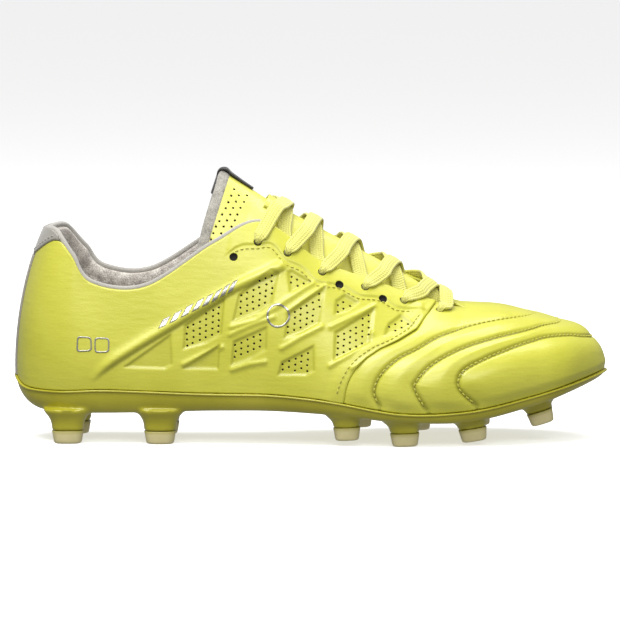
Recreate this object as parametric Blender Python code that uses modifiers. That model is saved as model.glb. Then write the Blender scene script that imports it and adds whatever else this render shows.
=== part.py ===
"""Football boot for the right foot, firm-ground studs, laced.

Frame: +X to the toe, +Z up, -Y the outer (lateral) side, +Y the inner (medial) side.
The origin is on the ground under the middle of the boot.

The upper is one smooth form, skin(u, t): u counts stations round the feather line, where
upper and sole meet, 0 at the back of the heel, 14 at the toe and 28 back at the heel, and
t runs from that line (0) to the top edge (1). Every layer is a patch of it at its own depth.
"""
import math

import bmesh
import bpy
import numpy as np

# ---- driving dimensions, metres ----
CENTRE_X = 0.14575       # from the back of the heel to the origin
GROUND = 0.0015          # the tables' zero level lies this far below the ground
GAP = 0.0004             # clearance between touching pieces
LEATHER = 0.0014         # outer leather
LINING = 0.0008
STIFFENER = 0.0012       # heel counter and toe puff
PLATE = 0.0026           # sole plate wall
RIM_OUT = 0.0008         # how far the plate stands proud of the upper
BOARD = 0.0016
SOCK = 0.0030
COLLAR_PAD = 0.0030
TONGUE_LEATHER = 0.0010
TONGUE_PAD = 0.0020
TONGUE_DEPTH = 0.0062    # tongue face under the eyestays, and how much deeper beside the collar
TONGUE_SINK = 0.0014
BINDING_RADIUS = 0.0014  # grey braid round the tongue, and its middle past the tongue's edge
BINDING_OUT = 0.0022
LABEL = 0.0008
LACE_RADIUS = 0.0011
LACE_TIP_RADIUS = 0.0013
PIPING_RADIUS = 0.0011   # braid round the foot opening: its middle under the top edge's outer face
PIPING_DEPTH = 0.0029
PIPING_RISE = 0.0009
TAB_PROUD = 0.0006       # the heel tab lies this far over the leather
EYELET_RADIUS = 0.0020
EYELET_SIDES = 10
STUD_SIDES = 12
STUD_SQUARE = 2/3.0      # below 1 the oval of a stud is squared off
TIP_HEIGHT = 0.0082      # frosted tip of a stud, and the chamfer at its end
TIP_CHAMFER = 0.0008
FACET_U = .4             # facets of the upper's layers, in stations and in height share
FACET_T = .125
BOARD_INSET = 0.0066     # from the feather line in to the board and to the sockliner
SOCK_INSET = 0.0082
SOCK_RIM = 0.0030        # rise of the sockliner's rim
WEDGE_UNDER = 0.0006     # clearance under the board, also the least thickness of the heel wedge
WEDGE_OVER = 0.0008      # clearance over the plate
WEDGE_INSET = 0.0125     # from the feather line to the edge of the heel wedge
SEAM = 9.2               # station of the seam between vamp and quarters
COLLAR_END = 5.6         # station where the padded collar ends
BACK = .28               # half width of the seam strip at the back, in stations
TAB_END = 1.35           # station where the heel tab ends
LAP = .02                # clearance between neighbouring patches, in stations
TONGUE_TOP, TONGUE_ROOT = 4.8, 10.05
UNDER = LEATHER + LINING + 3*GAP + LACE_RADIUS      # depth of the lace under the eyestay
OVER = LACE_RADIUS + .0006                          # height of the lace on the leather
BAR_HEIGHT = .0042                                  # rise of the last strand over the throat
TAIL_SLACK = .0009                                  # the tucked tails lie a little deeper
TAIL_HEIGHT = .68                                   # height share where the tails lie

STATIONS, TOE, THROAT = 28, 14, 10

# feather line, stations 0 to 14: x from the heel, y on each side, z
FEATHER_X = [.0025, .008, .024, .044, .066, .088, .106, .124, .142, .158, .190, .222, .250, .272, .2890]
FEATHER_LAT = [0, -.0175, -.0290, -.0322, -.0330, -.0340, -.0360, -.0390, -.0425, -.0452, -.0482,
               -.0450, -.0362, -.0235, .0070]
FEATHER_MED = [0, .0175, .0290, .0310, .0295, .0275, .0275, .0295, .0335, .0380, .0450, .0458, .0415,
               .0330, .0070]
FEATHER_Z = [.0336, .0288, .0278, .0286, .0280, .0272, .0270, .0270, .0258, .0238, .0186, .0196, .0252,
             .0308, .0350]
# underside of the plate at the same stations, and how far its edge rounds in
PLATE_Z = [.0182, .0170, .0162, .0164, .0168, .0176, .0180, .0182, .0176, .0166, .0136, .0136, .0190,
           .0250, .0300]
PLATE_ROUND = [.0130, .0110, .0085, .0075, .0070, .0065, .0065, .0065, .0060, .0055, .0050, .0050, .0055,
               .0065, .0080]
# top edge from the heel (0) to the throat (10): collar to station 6, then the eyestay edge
TOP_LAT = [(.0165, 0, .1045), (.0215, -.0170, .1038), (.0300, -.0250, .0930), (.0400, -.0280, .0798),
           (.0660, -.0285, .0782), (.0990, -.0255, .0990), (.1230, -.0205, .1088), (.1500, -.0225, .0905),
           (.1780, -.0195, .0798), (.2020, -.0150, .0708), (.2210, -.0060, .0658)]
TOP_MED = [(.0165, 0, .1045), (.0245, .0170, .1045), (.0350, .0245, .0935), (.0450, .0265, .0832),
           (.0680, .0275, .0822), (.1000, .0245, .1015), (.1230, .0180, .1110), (.1500, .0130, .0970),
           (.1780, .0090, .0868), (.2020, .0050, .0765), (.2210, -.0060, .0658)]
# ridge of the vamp from the throat to the toe box, and the slope of the surface across it
RIDGE = [(.2210, -.0060, .0658), (.2360, .0000, .0662), (.2480, .0040, .0640), (.2580, .0080, .0614),
         (.2650, .0100, .0594)]
RIDGE_SLOPE = [(-.26, .25), (-.15, .12), (-.20, .06), (-.22, .03), (-.24, .0)]
# how the skin leaves the feather line (lean out) and arrives at the top edge (turn in, degrees)
LEAN_LAT = [.12, .18, .25, .20, .15, .12, .12, .15, .18, .22, .30, .32, .30, .22, .12]
LEAN_MED = [.12, .18, .22, .12, .05, .02, .02, .05, .12, .18, .28, .30, .28, .22, .12]
TURN_LAT = [22, 20, 14, 10, 10, 14, 32, 50, 56, 62, 75, 85, 85, 85, 85]
TURN_MED = [22, 20, 14, 10, 10, 14, 38, 62, 70, 78, 80, 85, 85, 85, 85]
RISE = [.32, .32, .33, .35, .35, .35, .36, .40, .45, .50, .56, .56, .56, .56, .60]
REACH = [.32, .32, .30, .30, .30, .32, .33, .34, .36, .40, .46, .48, .50, .52, .56]
# middle line of the tongue at stations 4 to 10
TONGUE_LINE = [(.0900, .0035, .1400), (.1080, .0030, .1285), (.1270, .0010, .1165), (.1510, -.0015, .1035),
               (.1780, -.0035, .0890), (.2020, -.0050, .0752), (.2200, -.0060, .0610)]
# lace eyelets: station and height share on both sides, from the ankle to the toe
EYELETS = [(5.95, .870), (6.50, .885), (7.10, .905), (7.85, .905), (8.60, .910), (9.40, .915)]
SPARE_EYELETS = [(5.45, .820), (7.45, .860), (8.25, .865)]
# lace through an eyelet from inside to outside: towards the tongue, towards the toe, height
THREAD = [(.0048, -.0010, -UNDER), (.0020, -.0004, -UNDER), (.0005, 0, -UNDER + .0007), (0, 0, -.0016),
          (0, 0, -.0002), (.0006, .0001, .0011), (.0021, .0006, OVER), (.0046, .0014, OVER)]
# lace across the tongue: share of the way, height over the tongue for the upper and the lower strand
CROSSING = [(.14, .0082, .0080), (.27, .0064, .0054), (.40, .0048, .0027), (.50, .0043, .0016),
            (.60, .0036, .0018), (.74, .0021, .0017), (.90, .0016, .0017)]
# each tail of the lace: station and height share from its eyelet forwards
TAIL = [(6.02, .825), (6.2, .76), (6.55, .715), (7.1, .69), (7.7, TAIL_HEIGHT), (8.3, TAIL_HEIGHT)]
# woven label: station and depth along its fold over the top of the tongue, and its half width
LABEL_FOLD = [(5.45, -.0004), (5.2, -.0004), (4.9, -.0006), (4.68, -.0006), (4.56, .0006), (4.55, .0028),
              (4.66, .0046), (4.9, .0047), (5.1, .0047)]
LABEL_HALF = .16
# studs: name, x from the heel, y, base z, length, half width, half depth, lean forward (degrees)
STUDS = [
    ("heel_back_lateral", .0280, -.0215, .0185, .0170, .0074, .0062, 0),
    ("heel_front_lateral", .0727, -.0235, .0185, .0170, .0074, .0062, 0),
    ("heel_back_medial", .0300, .0210, .0185, .0170, .0074, .0062, 0),
    ("heel_front_medial", .0735, .0190, .0185, .0170, .0074, .0062, 0),
    ("waist_lateral", .1626, -.0335, .0178, .0135, .0063, .0056, 2),
    ("waist_medial", .1690, .0270, .0178, .0140, .0063, .0056, 2),
    ("ball_lateral", .1905, -.0360, .0152, .0135, .0068, .0058, 2),
    ("ball_medial", .1975, .0330, .0152, .0135, .0068, .0058, 2),
    ("front_lateral", .2225, -.0310, .0160, .0125, .0066, .0056, 9),
    ("front_medial", .2260, .0330, .0160, .0125, .0066, .0056, 9),
    ("toe_lateral", .2545, -.0175, .0222, .0122, .0062, .0052, 17),
    ("toe_medial", .2555, .0230, .0222, .0122, .0062, .0052, 17),
]

# ---- colours and finishes ----
FINISHES = {
    "leather": ((.72, .72, .14), .42, 0), "plate": ((.50, .50, .08), .25, 0), "tip": ((.80, .76, .58), .35, 0),
    "lining": ((.48, .45, .42), .95, 0), "felt": ((.60, .57, .53), .95, 0), "board": ((.75, .70, .60), .9, 0),
    "foam": ((.80, .80, .76), .9, 0), "label": ((.02, .018, .015), .7, 0), "lace": ((.76, .77, .28), .8, 0),
    "stiffener": ((.65, .62, .55), .8, 0), "clear": ((.80, .80, .60), .2, 0),
}


def clear_scene():
    """Remove the startup objects."""
    for item in list(bpy.data.objects):
        bpy.data.objects.remove(item, do_unlink=True)


def finish(name):
    """The Principled material of one finish."""
    if name in bpy.data.materials:
        return bpy.data.materials[name]
    colour, roughness, metallic = FINISHES[name]
    made = bpy.data.materials.new(name)
    made.use_nodes = True
    shader = made.node_tree.nodes["Principled BSDF"]
    shader.inputs["Base Color"].default_value = (*colour, 1)
    shader.inputs["Roughness"].default_value = roughness
    shader.inputs["Metallic"].default_value = metallic
    made.diffuse_color = (*colour, 1)
    return made


# ---- the form of the upper ----
def unit(vectors):
    return vectors / np.maximum(np.linalg.norm(vectors, axis=-1, keepdims=True), 1e-12)


def both_sides(lateral, medial):
    """A closed table of stations: lateral 0 to 14, then medial back from 13 to 1."""
    return np.concatenate([np.asarray(lateral, float), np.asarray(medial, float)[-2:0:-1]])


def frame_points(points):
    """Points measured from the heel, moved to the boot's frame."""
    return np.asarray(points, float) - np.array([CENTRE_X, 0, GROUND])


def smooth_row(before, start, end, after, share):
    """Catmull-Rom between start and end."""
    return .5 * (2*start + (end - before)*share + (2*before - 5*start + 4*end - after)*share**2
                 + (3*start - before - 3*end + after)*share**3)


def around(table, u):
    """A closed table read at station u."""
    table = np.asarray(table, float)
    table = table[:, None] if table.ndim == 1 else table
    u = np.asarray(u, float) % STATIONS
    base = np.floor(u).astype(int)
    rows = [table[(base + step) % len(table)] for step in (-1, 0, 1, 2)]
    return smooth_row(*rows, (u - base)[..., None])


def along(table, place, first, mirrored):
    """An open table read at a place; past its ends it runs straight on, or mirrors at its far end."""
    table = np.asarray(table, float)
    tail = table[-2] if mirrored else 2*table[-1] - table[-2]
    table = np.concatenate([[2*table[0] - table[1]], table, [tail], [tail]])
    place = np.asarray(place, float) - first
    base = np.clip(np.floor(place).astype(int), 0, len(table) - 4)
    rows = [table[base + step] for step in (0, 1, 2, 3)]
    return smooth_row(*rows, (place - base)[..., None])


FEATHER = frame_points(np.stack([both_sides(FEATHER_X, FEATHER_X), both_sides(FEATHER_LAT, FEATHER_MED),
                                 both_sides(FEATHER_Z, FEATHER_Z)], 1))
TOP_EDGE = frame_points(both_sides(TOP_LAT + RIDGE[1:], TOP_MED + RIDGE[1:]))
LEANS = both_sides(LEAN_LAT, LEAN_MED)
TURNS = np.radians(both_sides(TURN_LAT, TURN_MED))
RISES = both_sides(RISE, RISE)
REACHES = both_sides(REACH, REACH)


def station(u):
    """Distance in stations from the heel, the same on both sides."""
    u = np.asarray(u, float) % STATIONS
    return np.minimum(u, STATIONS - u)


def top_edge(u):
    k = station(u)
    ridge = along(frame_points(RIDGE), np.clip(k, THROAT, TOE), THROAT, True)
    return np.where((k >= THROAT)[..., None], ridge, around(TOP_EDGE, u))


def ridge_normal(k):
    """Up vector on the vamp's ridge, from its slopes along and across."""
    places = np.arange(THROAT, TOE + 1)
    slopes = [np.interp(k, places, [pair[side] for pair in RIDGE_SLOPE]) for side in (0, 1)]
    return unit(np.stack([-slopes[0], -slopes[1], np.ones_like(slopes[0])], -1))


def outward(u):
    """Level vector square to the feather line."""
    step = 1e-3
    run = around(FEATHER, np.asarray(u) + step) - around(FEATHER, np.asarray(u) - step)
    return unit(np.stack([run[..., 1], -run[..., 0], 0*run[..., 0]], -1))


def form(u, t):
    """A cubic curve from the feather line, leaning out, to the top edge, turning in."""
    u, t = np.broadcast_arrays(np.asarray(u, float), np.asarray(t, float))
    low, high, out, k = around(FEATHER, u), top_edge(u), outward(u), station(u)
    span = high - low
    size = np.linalg.norm(span, axis=-1, keepdims=True)
    up = np.array([0, 0, 1.])
    sway = span * np.array([1, 0, 0]) / size
    rise = low + unit(around(LEANS, u)*out + up + .5*sway) * around(RISES, u) * span[..., 2:3]
    turn = around(TURNS, u)
    side = unit(-np.sin(turn)*out + np.cos(turn)*up + .3*sway*(k < THROAT)[..., None])
    ridge_up = ridge_normal(k)
    flat = unit(-out + (out*ridge_up).sum(-1, keepdims=True)*ridge_up)
    blend = np.clip(k - THROAT + 1, 0, 1)[..., None]
    blend = blend*blend*(3 - 2*blend)
    arrive = high - unit(side*(1 - blend) + flat*blend) * around(REACHES, u) * size
    t = t[..., None]
    return (1-t)**3*low + 3*t*(1-t)**2*rise + 3*t*t*(1-t)*arrive + t**3*high


def form_normal(u, t):
    u, t = np.broadcast_arrays(np.asarray(u, float), np.asarray(t, float))
    step = 2e-3
    mid = np.clip(t, step, 1 - step)
    normal = unit(np.cross(form(u + step, mid) - form(u - step, mid), form(u, mid + step) - form(u, mid - step)))
    on_ridge = ((t > 1 - 1e-6) & (station(u) >= THROAT - 1e-6))[..., None]
    return np.where(on_ridge, ridge_normal(station(u)), normal)


def skin(u, t, depth=0.0):
    """A point of the upper, depth metres under its outer face."""
    return form(u, t) - np.asarray(depth)[..., None] * form_normal(u, t)


def tongue_form(k, b):
    """Tongue face at station k, b from -1 (lateral edge) to 1 (medial edge).

    Under each eyestay it follows the upper at a depth; between them it arches to its middle line."""
    k, b = np.broadcast_arrays(np.asarray(k, float), np.asarray(b, float))
    bridge = .5
    depth = TONGUE_DEPTH + TONGUE_SINK*np.clip((6.2 - k)/.6, 0, 1)
    root = np.clip((k - 9.1)/.9, 0, 1.1)
    edge = 1 - .2*root*root
    ends = [skin(u, edge, depth) for u in (k, STATIONS - k)]
    slopes = [unit(skin(u, edge, depth) - skin(u, edge - .04, depth)) for u in (k, STATIONS - k)]
    span = np.linalg.norm(ends[1] - ends[0], axis=-1, keepdims=True)
    s = np.clip((b + bridge)/(2*bridge), 0, 1)[..., None]
    arch = ((2*s**3 - 3*s**2 + 1)*ends[0] + (s**3 - 2*s**2 + s)*slopes[0]*span
            + (3*s**2 - 2*s**3)*ends[1] + (s**3 - s**2)*-slopes[1]*span)
    middle = .5*(ends[0] + ends[1]) + span*(slopes[0] + slopes[1])/8
    peak = along(frame_points(TONGUE_LINE), k, 4, False)
    arch = arch + (16*s**2*(1 - s)**2)*(peak - middle)
    share = np.clip((np.abs(b) - bridge)/(1 - bridge), 0, 1)
    flank = np.where((b < 0)[..., None], skin(k, edge - .17*share, depth),
                     skin(STATIONS - k, edge - .17*share, depth))
    return np.where((np.abs(b) <= bridge)[..., None], arch, flank)


def tongue_skin(k, b, depth=0.0):
    """A point of the tongue, depth metres under its outer face."""
    step = 1e-2
    run = tongue_form(k - step, b) - tongue_form(k + step, b)
    cross = tongue_form(k, np.asarray(b) + step) - tongue_form(k, np.asarray(b) - step)
    return tongue_form(k, b) - np.asarray(depth)[..., None]*unit(np.cross(cross, run))


# ---- making solids ----
def add_object(name, mesh, finish_name):
    """Link a mesh as the named sub-part."""
    mesh.materials.append(finish(finish_name))
    piece = bpy.data.objects.new(name, mesh)
    bpy.data.collections["football_boot"].objects.link(piece)
    return piece


def sheet_mesh(name, points, flip=False):
    """An open surface through a grid of points, with doubled points welded."""
    rows, columns = points.shape[:2]
    index = np.arange(rows*columns).reshape(rows, columns)
    faces = np.stack([index[:-1, :-1], index[1:, :-1], index[1:, 1:], index[:-1, 1:]], -1).reshape(-1, 4)
    mesh = bpy.data.meshes.new(name)
    mesh.from_pydata(points.reshape(-1, 3).tolist(), [], (faces[:, ::-1] if flip else faces).tolist())
    shape = bmesh.new()
    shape.from_mesh(mesh)
    bmesh.ops.remove_doubles(shape, verts=shape.verts, dist=5e-5)
    bmesh.ops.dissolve_degenerate(shape, edges=shape.edges, dist=1e-5)
    shape.to_mesh(mesh)
    shape.free()
    return mesh


def shell(name, points, thickness, finish_name, flip=False):
    """A sheet given a wall on its inner side."""
    piece = add_object(name, sheet_mesh(name, points, flip), finish_name)
    wall = piece.modifiers.new("wall", "SOLIDIFY")
    wall.thickness = thickness
    wall.offset = -1
    return piece


def ticks(start, end, step):
    """Start, the whole steps between, and end, so that layers over each other share their facets."""
    inner = [tick*step for tick in range(math.ceil(start/step), math.floor(end/step) + 1)]
    return np.array([start] + [tick for tick in inner if start + .2*step < tick < end - .2*step] + [end])


def layer(name, stations, heights, depth, thickness, finish_name):
    """A patch of the upper between two stations and two heights at a depth."""
    u = ticks(*stations, FACET_U)[:, None]
    ends = [float(edge(.5*sum(stations))) if callable(edge) else edge for edge in heights]
    shares = (ticks(*ends, FACET_T)[None] - ends[0])/(ends[1] - ends[0])
    low, high = (edge(u) if callable(edge) else edge + 0*u for edge in heights)
    t = low + (high - low)*shares
    u = u + 0*t
    depths = depth(u, t) if callable(depth) else depth + 0*t
    return shell(name, skin(u, t, depths), thickness, finish_name)


def tube(name, points, radius, finish_name, sides=2):
    """A round cord through points."""
    curve = bpy.data.curves.new(name, "CURVE")
    curve.dimensions = "3D"
    curve.bevel_depth = radius
    curve.bevel_resolution = sides
    curve.use_fill_caps = True
    curve.materials.append(finish(finish_name))
    spline = curve.splines.new("POLY")
    spline.points.add(len(points) - 1)
    spline.points.foreach_set("co", np.c_[points, np.ones(len(points))].ravel())
    piece = bpy.data.objects.new(name, curve)
    bpy.data.collections["football_boot"].objects.link(piece)
    return piece


def lofted_solid(name, rings, finish_name):
    """A closed solid through closed rings of points, first ring on top, with flat ends."""
    count = rings.shape[1]
    shape = bmesh.new()
    loops = [[shape.verts.new(point) for point in ring] for ring in rings]
    for upper, lower in zip(loops[:-1], loops[1:]):
        for step in range(count):
            after = (step + 1) % count
            shape.faces.new((upper[step], upper[after], lower[after], lower[step]))
    shape.faces.new(loops[0][::-1])
    shape.faces.new(loops[-1])
    bmesh.ops.recalc_face_normals(shape, faces=shape.faces)
    mesh = bpy.data.meshes.new(name)
    shape.to_mesh(mesh)
    shape.free()
    return add_object(name, mesh, finish_name)


def cut(piece, cutter, operation="DIFFERENCE"):
    """Cut a piece with another object, or join the other object to it."""
    change = piece.modifiers.new(operation.lower(), "BOOLEAN")
    change.operation = operation
    change.object = cutter
    cutter.hide_render = True
    cutter.display_type = "WIRE"


def eyelet_cutter(name, eyelets, side, depth=.008):
    """Pins square to the skin at each eyelet, as one cutter."""
    shape = bmesh.new()
    for k, t in eyelets:
        u = k if side < 0 else STATIONS - k
        centre, axis = skin(u, t), form_normal(u, t)
        across = unit(np.cross(axis, [0, 0, 1.]))
        along_edge = np.cross(axis, across)
        turns = np.linspace(0, 2*math.pi, EYELET_SIDES, endpoint=False)[:, None]
        ring = EYELET_RADIUS*(np.cos(turns)*across + np.sin(turns)*along_edge)
        low = [shape.verts.new(point) for point in centre + ring - axis*depth]
        high = [shape.verts.new(point) for point in centre + ring + axis*depth]
        for step in range(EYELET_SIDES):
            after = (step + 1) % EYELET_SIDES
            shape.faces.new((low[step], low[after], high[after], high[step]))
        shape.faces.new(low[::-1])
        shape.faces.new(high)
    bmesh.ops.recalc_face_normals(shape, faces=shape.faces)
    mesh = bpy.data.meshes.new(name)
    shape.to_mesh(mesh)
    shape.free()
    cutter = bpy.data.objects.new(name, mesh)
    bpy.data.collections["cutters"].objects.link(cutter)
    cutter.hide_render = True
    return cutter


# ---- sole ----
def bed_middle(u):
    """Middle line of the sole, level with the feather line, for the station of u."""
    k = np.clip(station(u), 2.0, 12.6)
    return .5*(around(FEATHER, k) + around(FEATHER, STATIONS - k))


def plate_face(u, s):
    """Outside of the plate: rim, rounded edge (s to 0.5), then the bottom in to the middle line."""
    u, s = np.broadcast_arrays(np.asarray(u, float), np.asarray(s, float))
    rim, out = around(FEATHER, u) + RIM_OUT*outward(u), outward(u)
    inset, low = around(both_sides(PLATE_ROUND, PLATE_ROUND), u), around(both_sides(PLATE_Z, PLATE_Z), u) - GROUND
    bend = np.clip(s/.5, 0, 1)[..., None]*math.pi/2
    edge = rim - inset*(1 - np.cos(bend))*out
    edge[..., 2:] = rim[..., 2:] + (low - rim[..., 2:])*np.sin(bend)
    middle = bed_middle(u)
    middle[..., 2:] = around(both_sides(PLATE_Z, PLATE_Z), np.clip(station(u), 2.0, 12.6)) - GROUND
    share = np.clip(s/.5 - 1, 0, 1)[..., None]
    return edge + (middle - edge)*share


def bed_face(u, s, inset, height, rim_rise=0.0):
    """A footbed sheet: an edge inside the feather line, in to the middle line."""
    u, s = np.broadcast_arrays(np.asarray(u, float), np.asarray(s, float))
    edge = around(FEATHER, u) - inset*outward(u)
    face = edge + (bed_middle(u) - edge)*s[..., None]
    face[..., 2] += height + rim_rise*np.clip(1 - s/.3, 0, 1)**2
    return face


def stud_rings(stud, distances, widths):
    """Oval sections of a stud at distances from its base."""
    _, x, y, z, _, half_width, half_depth, lean = stud
    axis = np.array([math.sin(math.radians(lean)), 0, -math.cos(math.radians(lean))])
    forward = np.array([-axis[2], 0, axis[0]])
    turns = np.linspace(0, 2*math.pi, STUD_SIDES, endpoint=False)[:, None]
    across = np.sign(np.cos(turns))*np.abs(np.cos(turns))**STUD_SQUARE
    inward = np.sign(np.sin(turns))*np.abs(np.sin(turns))**STUD_SQUARE
    base = frame_points([x, y, z])
    return np.stack([base + axis*distance + width*(half_width*across*forward
                     + half_depth*inward*np.array([0, 1, 0])) for distance, width in zip(distances, widths)])


def make_sole():
    """Moulded plate with stud bodies, translucent stud tips, wedge, board and sockliner."""
    u = np.linspace(0, STATIONS, 57)[:, None]
    plate = shell("outsole_plate", plate_face(u, np.array([0, .16, .33, .5, .66, 1.0])[None]),
                  PLATE, "plate", flip=True)
    for stud in STUDS:
        name, length = stud[0], stud[4]
        body = length - TIP_HEIGHT
        rings = stud_rings(stud, [0, .0024, .0042, body], [1.42, 1.34, 1.12, 1.04])
        cut(plate, lofted_solid("body_" + name, rings, "plate"), "UNION")
        start = body + GAP
        rings = stud_rings(stud, [start, length - TIP_CHAMFER, length], [1.02, .92, .82])
        lofted_solid("stud_tip_" + name, rings, "tip")
    shares = np.array([0, .5, 1.0])[None]
    shell("insole_board", bed_face(u[::2], shares, BOARD_INSET, -.0002), BOARD, "board")
    make_wedge()
    shell("sockliner", bed_face(u[::2], np.array([0, .15, .3, 1.0])[None], SOCK_INSET, SOCK + GAP, SOCK_RIM),
          SOCK, "felt")


def make_wedge():
    """Foam heel wedge between plate and board, thick at the heel and thin at the waist."""
    rings = []
    for k in np.linspace(.9, 7.4, 14):
        lateral = around(FEATHER, k) - WEDGE_INSET*outward(k)
        medial = around(FEATHER, STATIONS - k) - WEDGE_INSET*outward(STATIONS - k)
        top = lateral + (medial - lateral)*np.linspace(0, 1, 7)[:, None]
        top[:, 2] -= BOARD + 2*GAP + WEDGE_UNDER
        low = top.copy()
        low[:, 2] = around(both_sides(PLATE_Z, PLATE_Z), k)[0] - GROUND + PLATE + WEDGE_OVER
        low[:, 2] = np.minimum(low[:, 2], top[:, 2] - WEDGE_UNDER)
        rings.append(np.concatenate([top, low[::-1]]))
    lofted_solid("heel_wedge", np.stack(rings), "foam")


# ---- upper ----
def quarter_top(u):
    """Top of the leather: the top edge, dropping to the heel tab at the back."""
    k = np.clip(station(u)/1.7, 0, 1)
    return 1 - .2*(1 - k*k*(3 - 2*k))


def lining_depth(u, t):
    """The heel lining bows in over the counter and the collar padding."""
    k = station(u)
    pad = np.clip((t - .60)/.08, 0, 1)*np.clip((1.04 - t)/.10, 0, 1)
    stiff = LEATHER + STIFFENER + 2*GAP
    return stiff + (COLLAR_PAD - STIFFENER)*pad*np.clip((COLLAR_END + .2 - k)/.2, 0, 1)


def floor(u):
    """Bottom edge of the leather, just above the plate's rim, higher where the rim curls up at the toe."""
    return .009 + .022*np.clip((station(u) - 12.3)/1.2, 0, 1) + .008*np.clip(1 - station(u), 0, 1)


def vamp_lining_depth(u, t):
    """The vamp lining steps in over the toe puff."""
    return LEATHER + GAP + (STIFFENER + GAP)*np.clip((station(u) - 11.6)/.5, 0, 1)


def make_upper():
    """Leather, stiffeners, padding and linings."""
    quarters = {}
    for side, name in ((-1, "lateral"), (1, "medial")):
        ends = (BACK, SEAM - LAP) if side < 0 else (STATIONS - SEAM + LAP, STATIONS - BACK)
        quarters[name] = layer("quarter_" + name, ends, (floor, quarter_top), 0, LEATHER, "leather")
        eyelets = [pair for pair in EYELETS + SPARE_EYELETS if pair[0] < SEAM]
        cut(quarters[name], eyelet_cutter("pins_" + name, eyelets, side))
        ends = (COLLAR_END + LAP, 9.9) if side < 0 else (STATIONS - 9.9, STATIONS - COLLAR_END - LAP)
        layer("quarter_lining_" + name, ends, (.03, .80), LEATHER + 1.6*GAP, LINING, "lining")
        ends = (5.3, 9.9) if side < 0 else (STATIONS - 9.9, STATIONS - 5.3)
        stay = layer("eyestay_" + name, ends, (.815, .985), LEATHER + GAP + .0001, LINING, "stiffener")
        cut(stay, eyelet_cutter("stay_pins_" + name, EYELETS + SPARE_EYELETS, side))
    vamp = layer("vamp", (SEAM, STATIONS - SEAM), (floor, 1.0), 0, LEATHER, "leather")
    for side in (-1, 1):
        cut(vamp, eyelet_cutter("vamp_pins", EYELETS[-1:], side))
    layer("vamp_lining", (9.95, 18.05), (.03, 1.0), vamp_lining_depth, LINING, "lining")
    layer("toe_puff", (12.2, 15.8), (.03, .60), LEATHER + GAP, STIFFENER, "stiffener")
    layer("backstay", (-BACK + LAP, BACK - LAP), (floor, .78), 0, LEATHER, "felt")
    layer("heel_tab", (-TAB_END, TAB_END), (lambda u: quarter_top(u) + .008, 1.0), -TAB_PROUD,
          LEATHER + TAB_PROUD, "felt")
    layer("heel_counter", (-4.2, 4.2), (.04, .60), LEATHER + GAP, STIFFENER, "stiffener")
    layer("collar_foam", (-5.25, 5.25), (.635, .955), LEATHER + GAP, COLLAR_PAD - 2.5*GAP, "foam")
    layer("heel_lining", (-COLLAR_END, COLLAR_END), (.03, .955), lining_depth, LINING, "lining")
    piping = np.linspace(-5.9, 5.9, 49)
    points = skin(piping, 1 + 0*piping, PIPING_DEPTH) + np.array([0, 0, PIPING_RISE])
    tube("topline_piping", points, PIPING_RADIUS, "felt", 1)


# ---- tongue ----
def make_tongue():
    """Tongue leather, its padded lining, bound edge and folded label."""
    k = np.linspace(TONGUE_ROOT, TONGUE_TOP, 17)[:, None]
    b = np.linspace(-1, 1, 17)[None]
    k, b = k + 0*b, b + 0*k
    shell("tongue", tongue_skin(k, b), TONGUE_LEATHER, "leather", flip=True)
    b = np.clip(b, -.96, .96)
    shell("tongue_lining", tongue_skin(k, b, TONGUE_LEATHER + GAP + 0*k), TONGUE_PAD, "lining", flip=True)
    edge = [(9.4 - 4.6*share, -1.0) for share in np.linspace(0, 1, 9)]
    edge += [(TONGUE_TOP, side) for side in np.linspace(-.92, .92, 15)]
    edge += [(4.8 + 4.6*share, 1.0) for share in np.linspace(0, 1, 9)]
    tube("tongue_binding", smooth_path([binding_point(*place) for place in edge], .010), BINDING_RADIUS, "felt", 1)
    make_label()


def binding_point(k, b):
    """A point just past the tongue's edge, in the middle of its thickness."""
    middle = .5*(TONGUE_LEATHER + GAP + TONGUE_PAD)
    here = tongue_skin(k, b, middle)
    past_side = unit(here - tongue_skin(k, .9*b, middle)) * (abs(b) > .91)
    past_top = unit(here - tongue_skin(k + .2, b, middle)) * (k < TONGUE_TOP + .01)
    return here + BINDING_OUT*unit(past_side + past_top)


def make_label():
    """Woven label folded over the top of the tongue."""
    k = np.array([place[0] for place in LABEL_FOLD])[:, None]
    depth = np.array([place[1] for place in LABEL_FOLD])[:, None]
    b = np.linspace(-LABEL_HALF, LABEL_HALF, 7)[None]
    shell("tongue_label", tongue_skin(k + 0*b, b + 0*k, depth + 0*b), LABEL, "label")


# ---- lace ----
def smooth_path(points, spacing):
    """A smooth curve through points, read about every spacing."""
    points = np.asarray(points, float)
    places = []
    for step, reach in enumerate(np.linalg.norm(np.diff(points, axis=0), axis=1)):
        count = max(1, int(math.ceil(reach/spacing)))
        places += [step + part/count for part in range(count)]
    return along(points, np.array(places + [len(points) - 1.0]), 0, False)


def eyelet_point(index, side, inward, toeward, height):
    """A point near an eyelet: metres towards the tongue, towards the toe, and above the leather."""
    k, t = EYELETS[index]
    u = k if side < 0 else STATIONS - k
    centre, up = skin(u, t), form_normal(u, t)
    inwards = unit(skin(u, t + .01) - centre)
    forwards = unit(skin(k + .02 if side < 0 else STATIONS - k - .02, t) - centre)
    return centre + inward*inwards + toeward*forwards + height*up


def crossing(index, side):
    """Over the tongue from one eyelet to the next one towards the toe on the other side."""
    start, end = EYELETS[index][0] + .12, EYELETS[index + 1][0] - .10
    points = []
    for share, upper, lower in CROSSING:
        height = upper if side < 0 else lower
        points.append(tongue_skin(start + (end - start)*share, side*.44*(1 - 2*share), -height))
    return points


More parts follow.
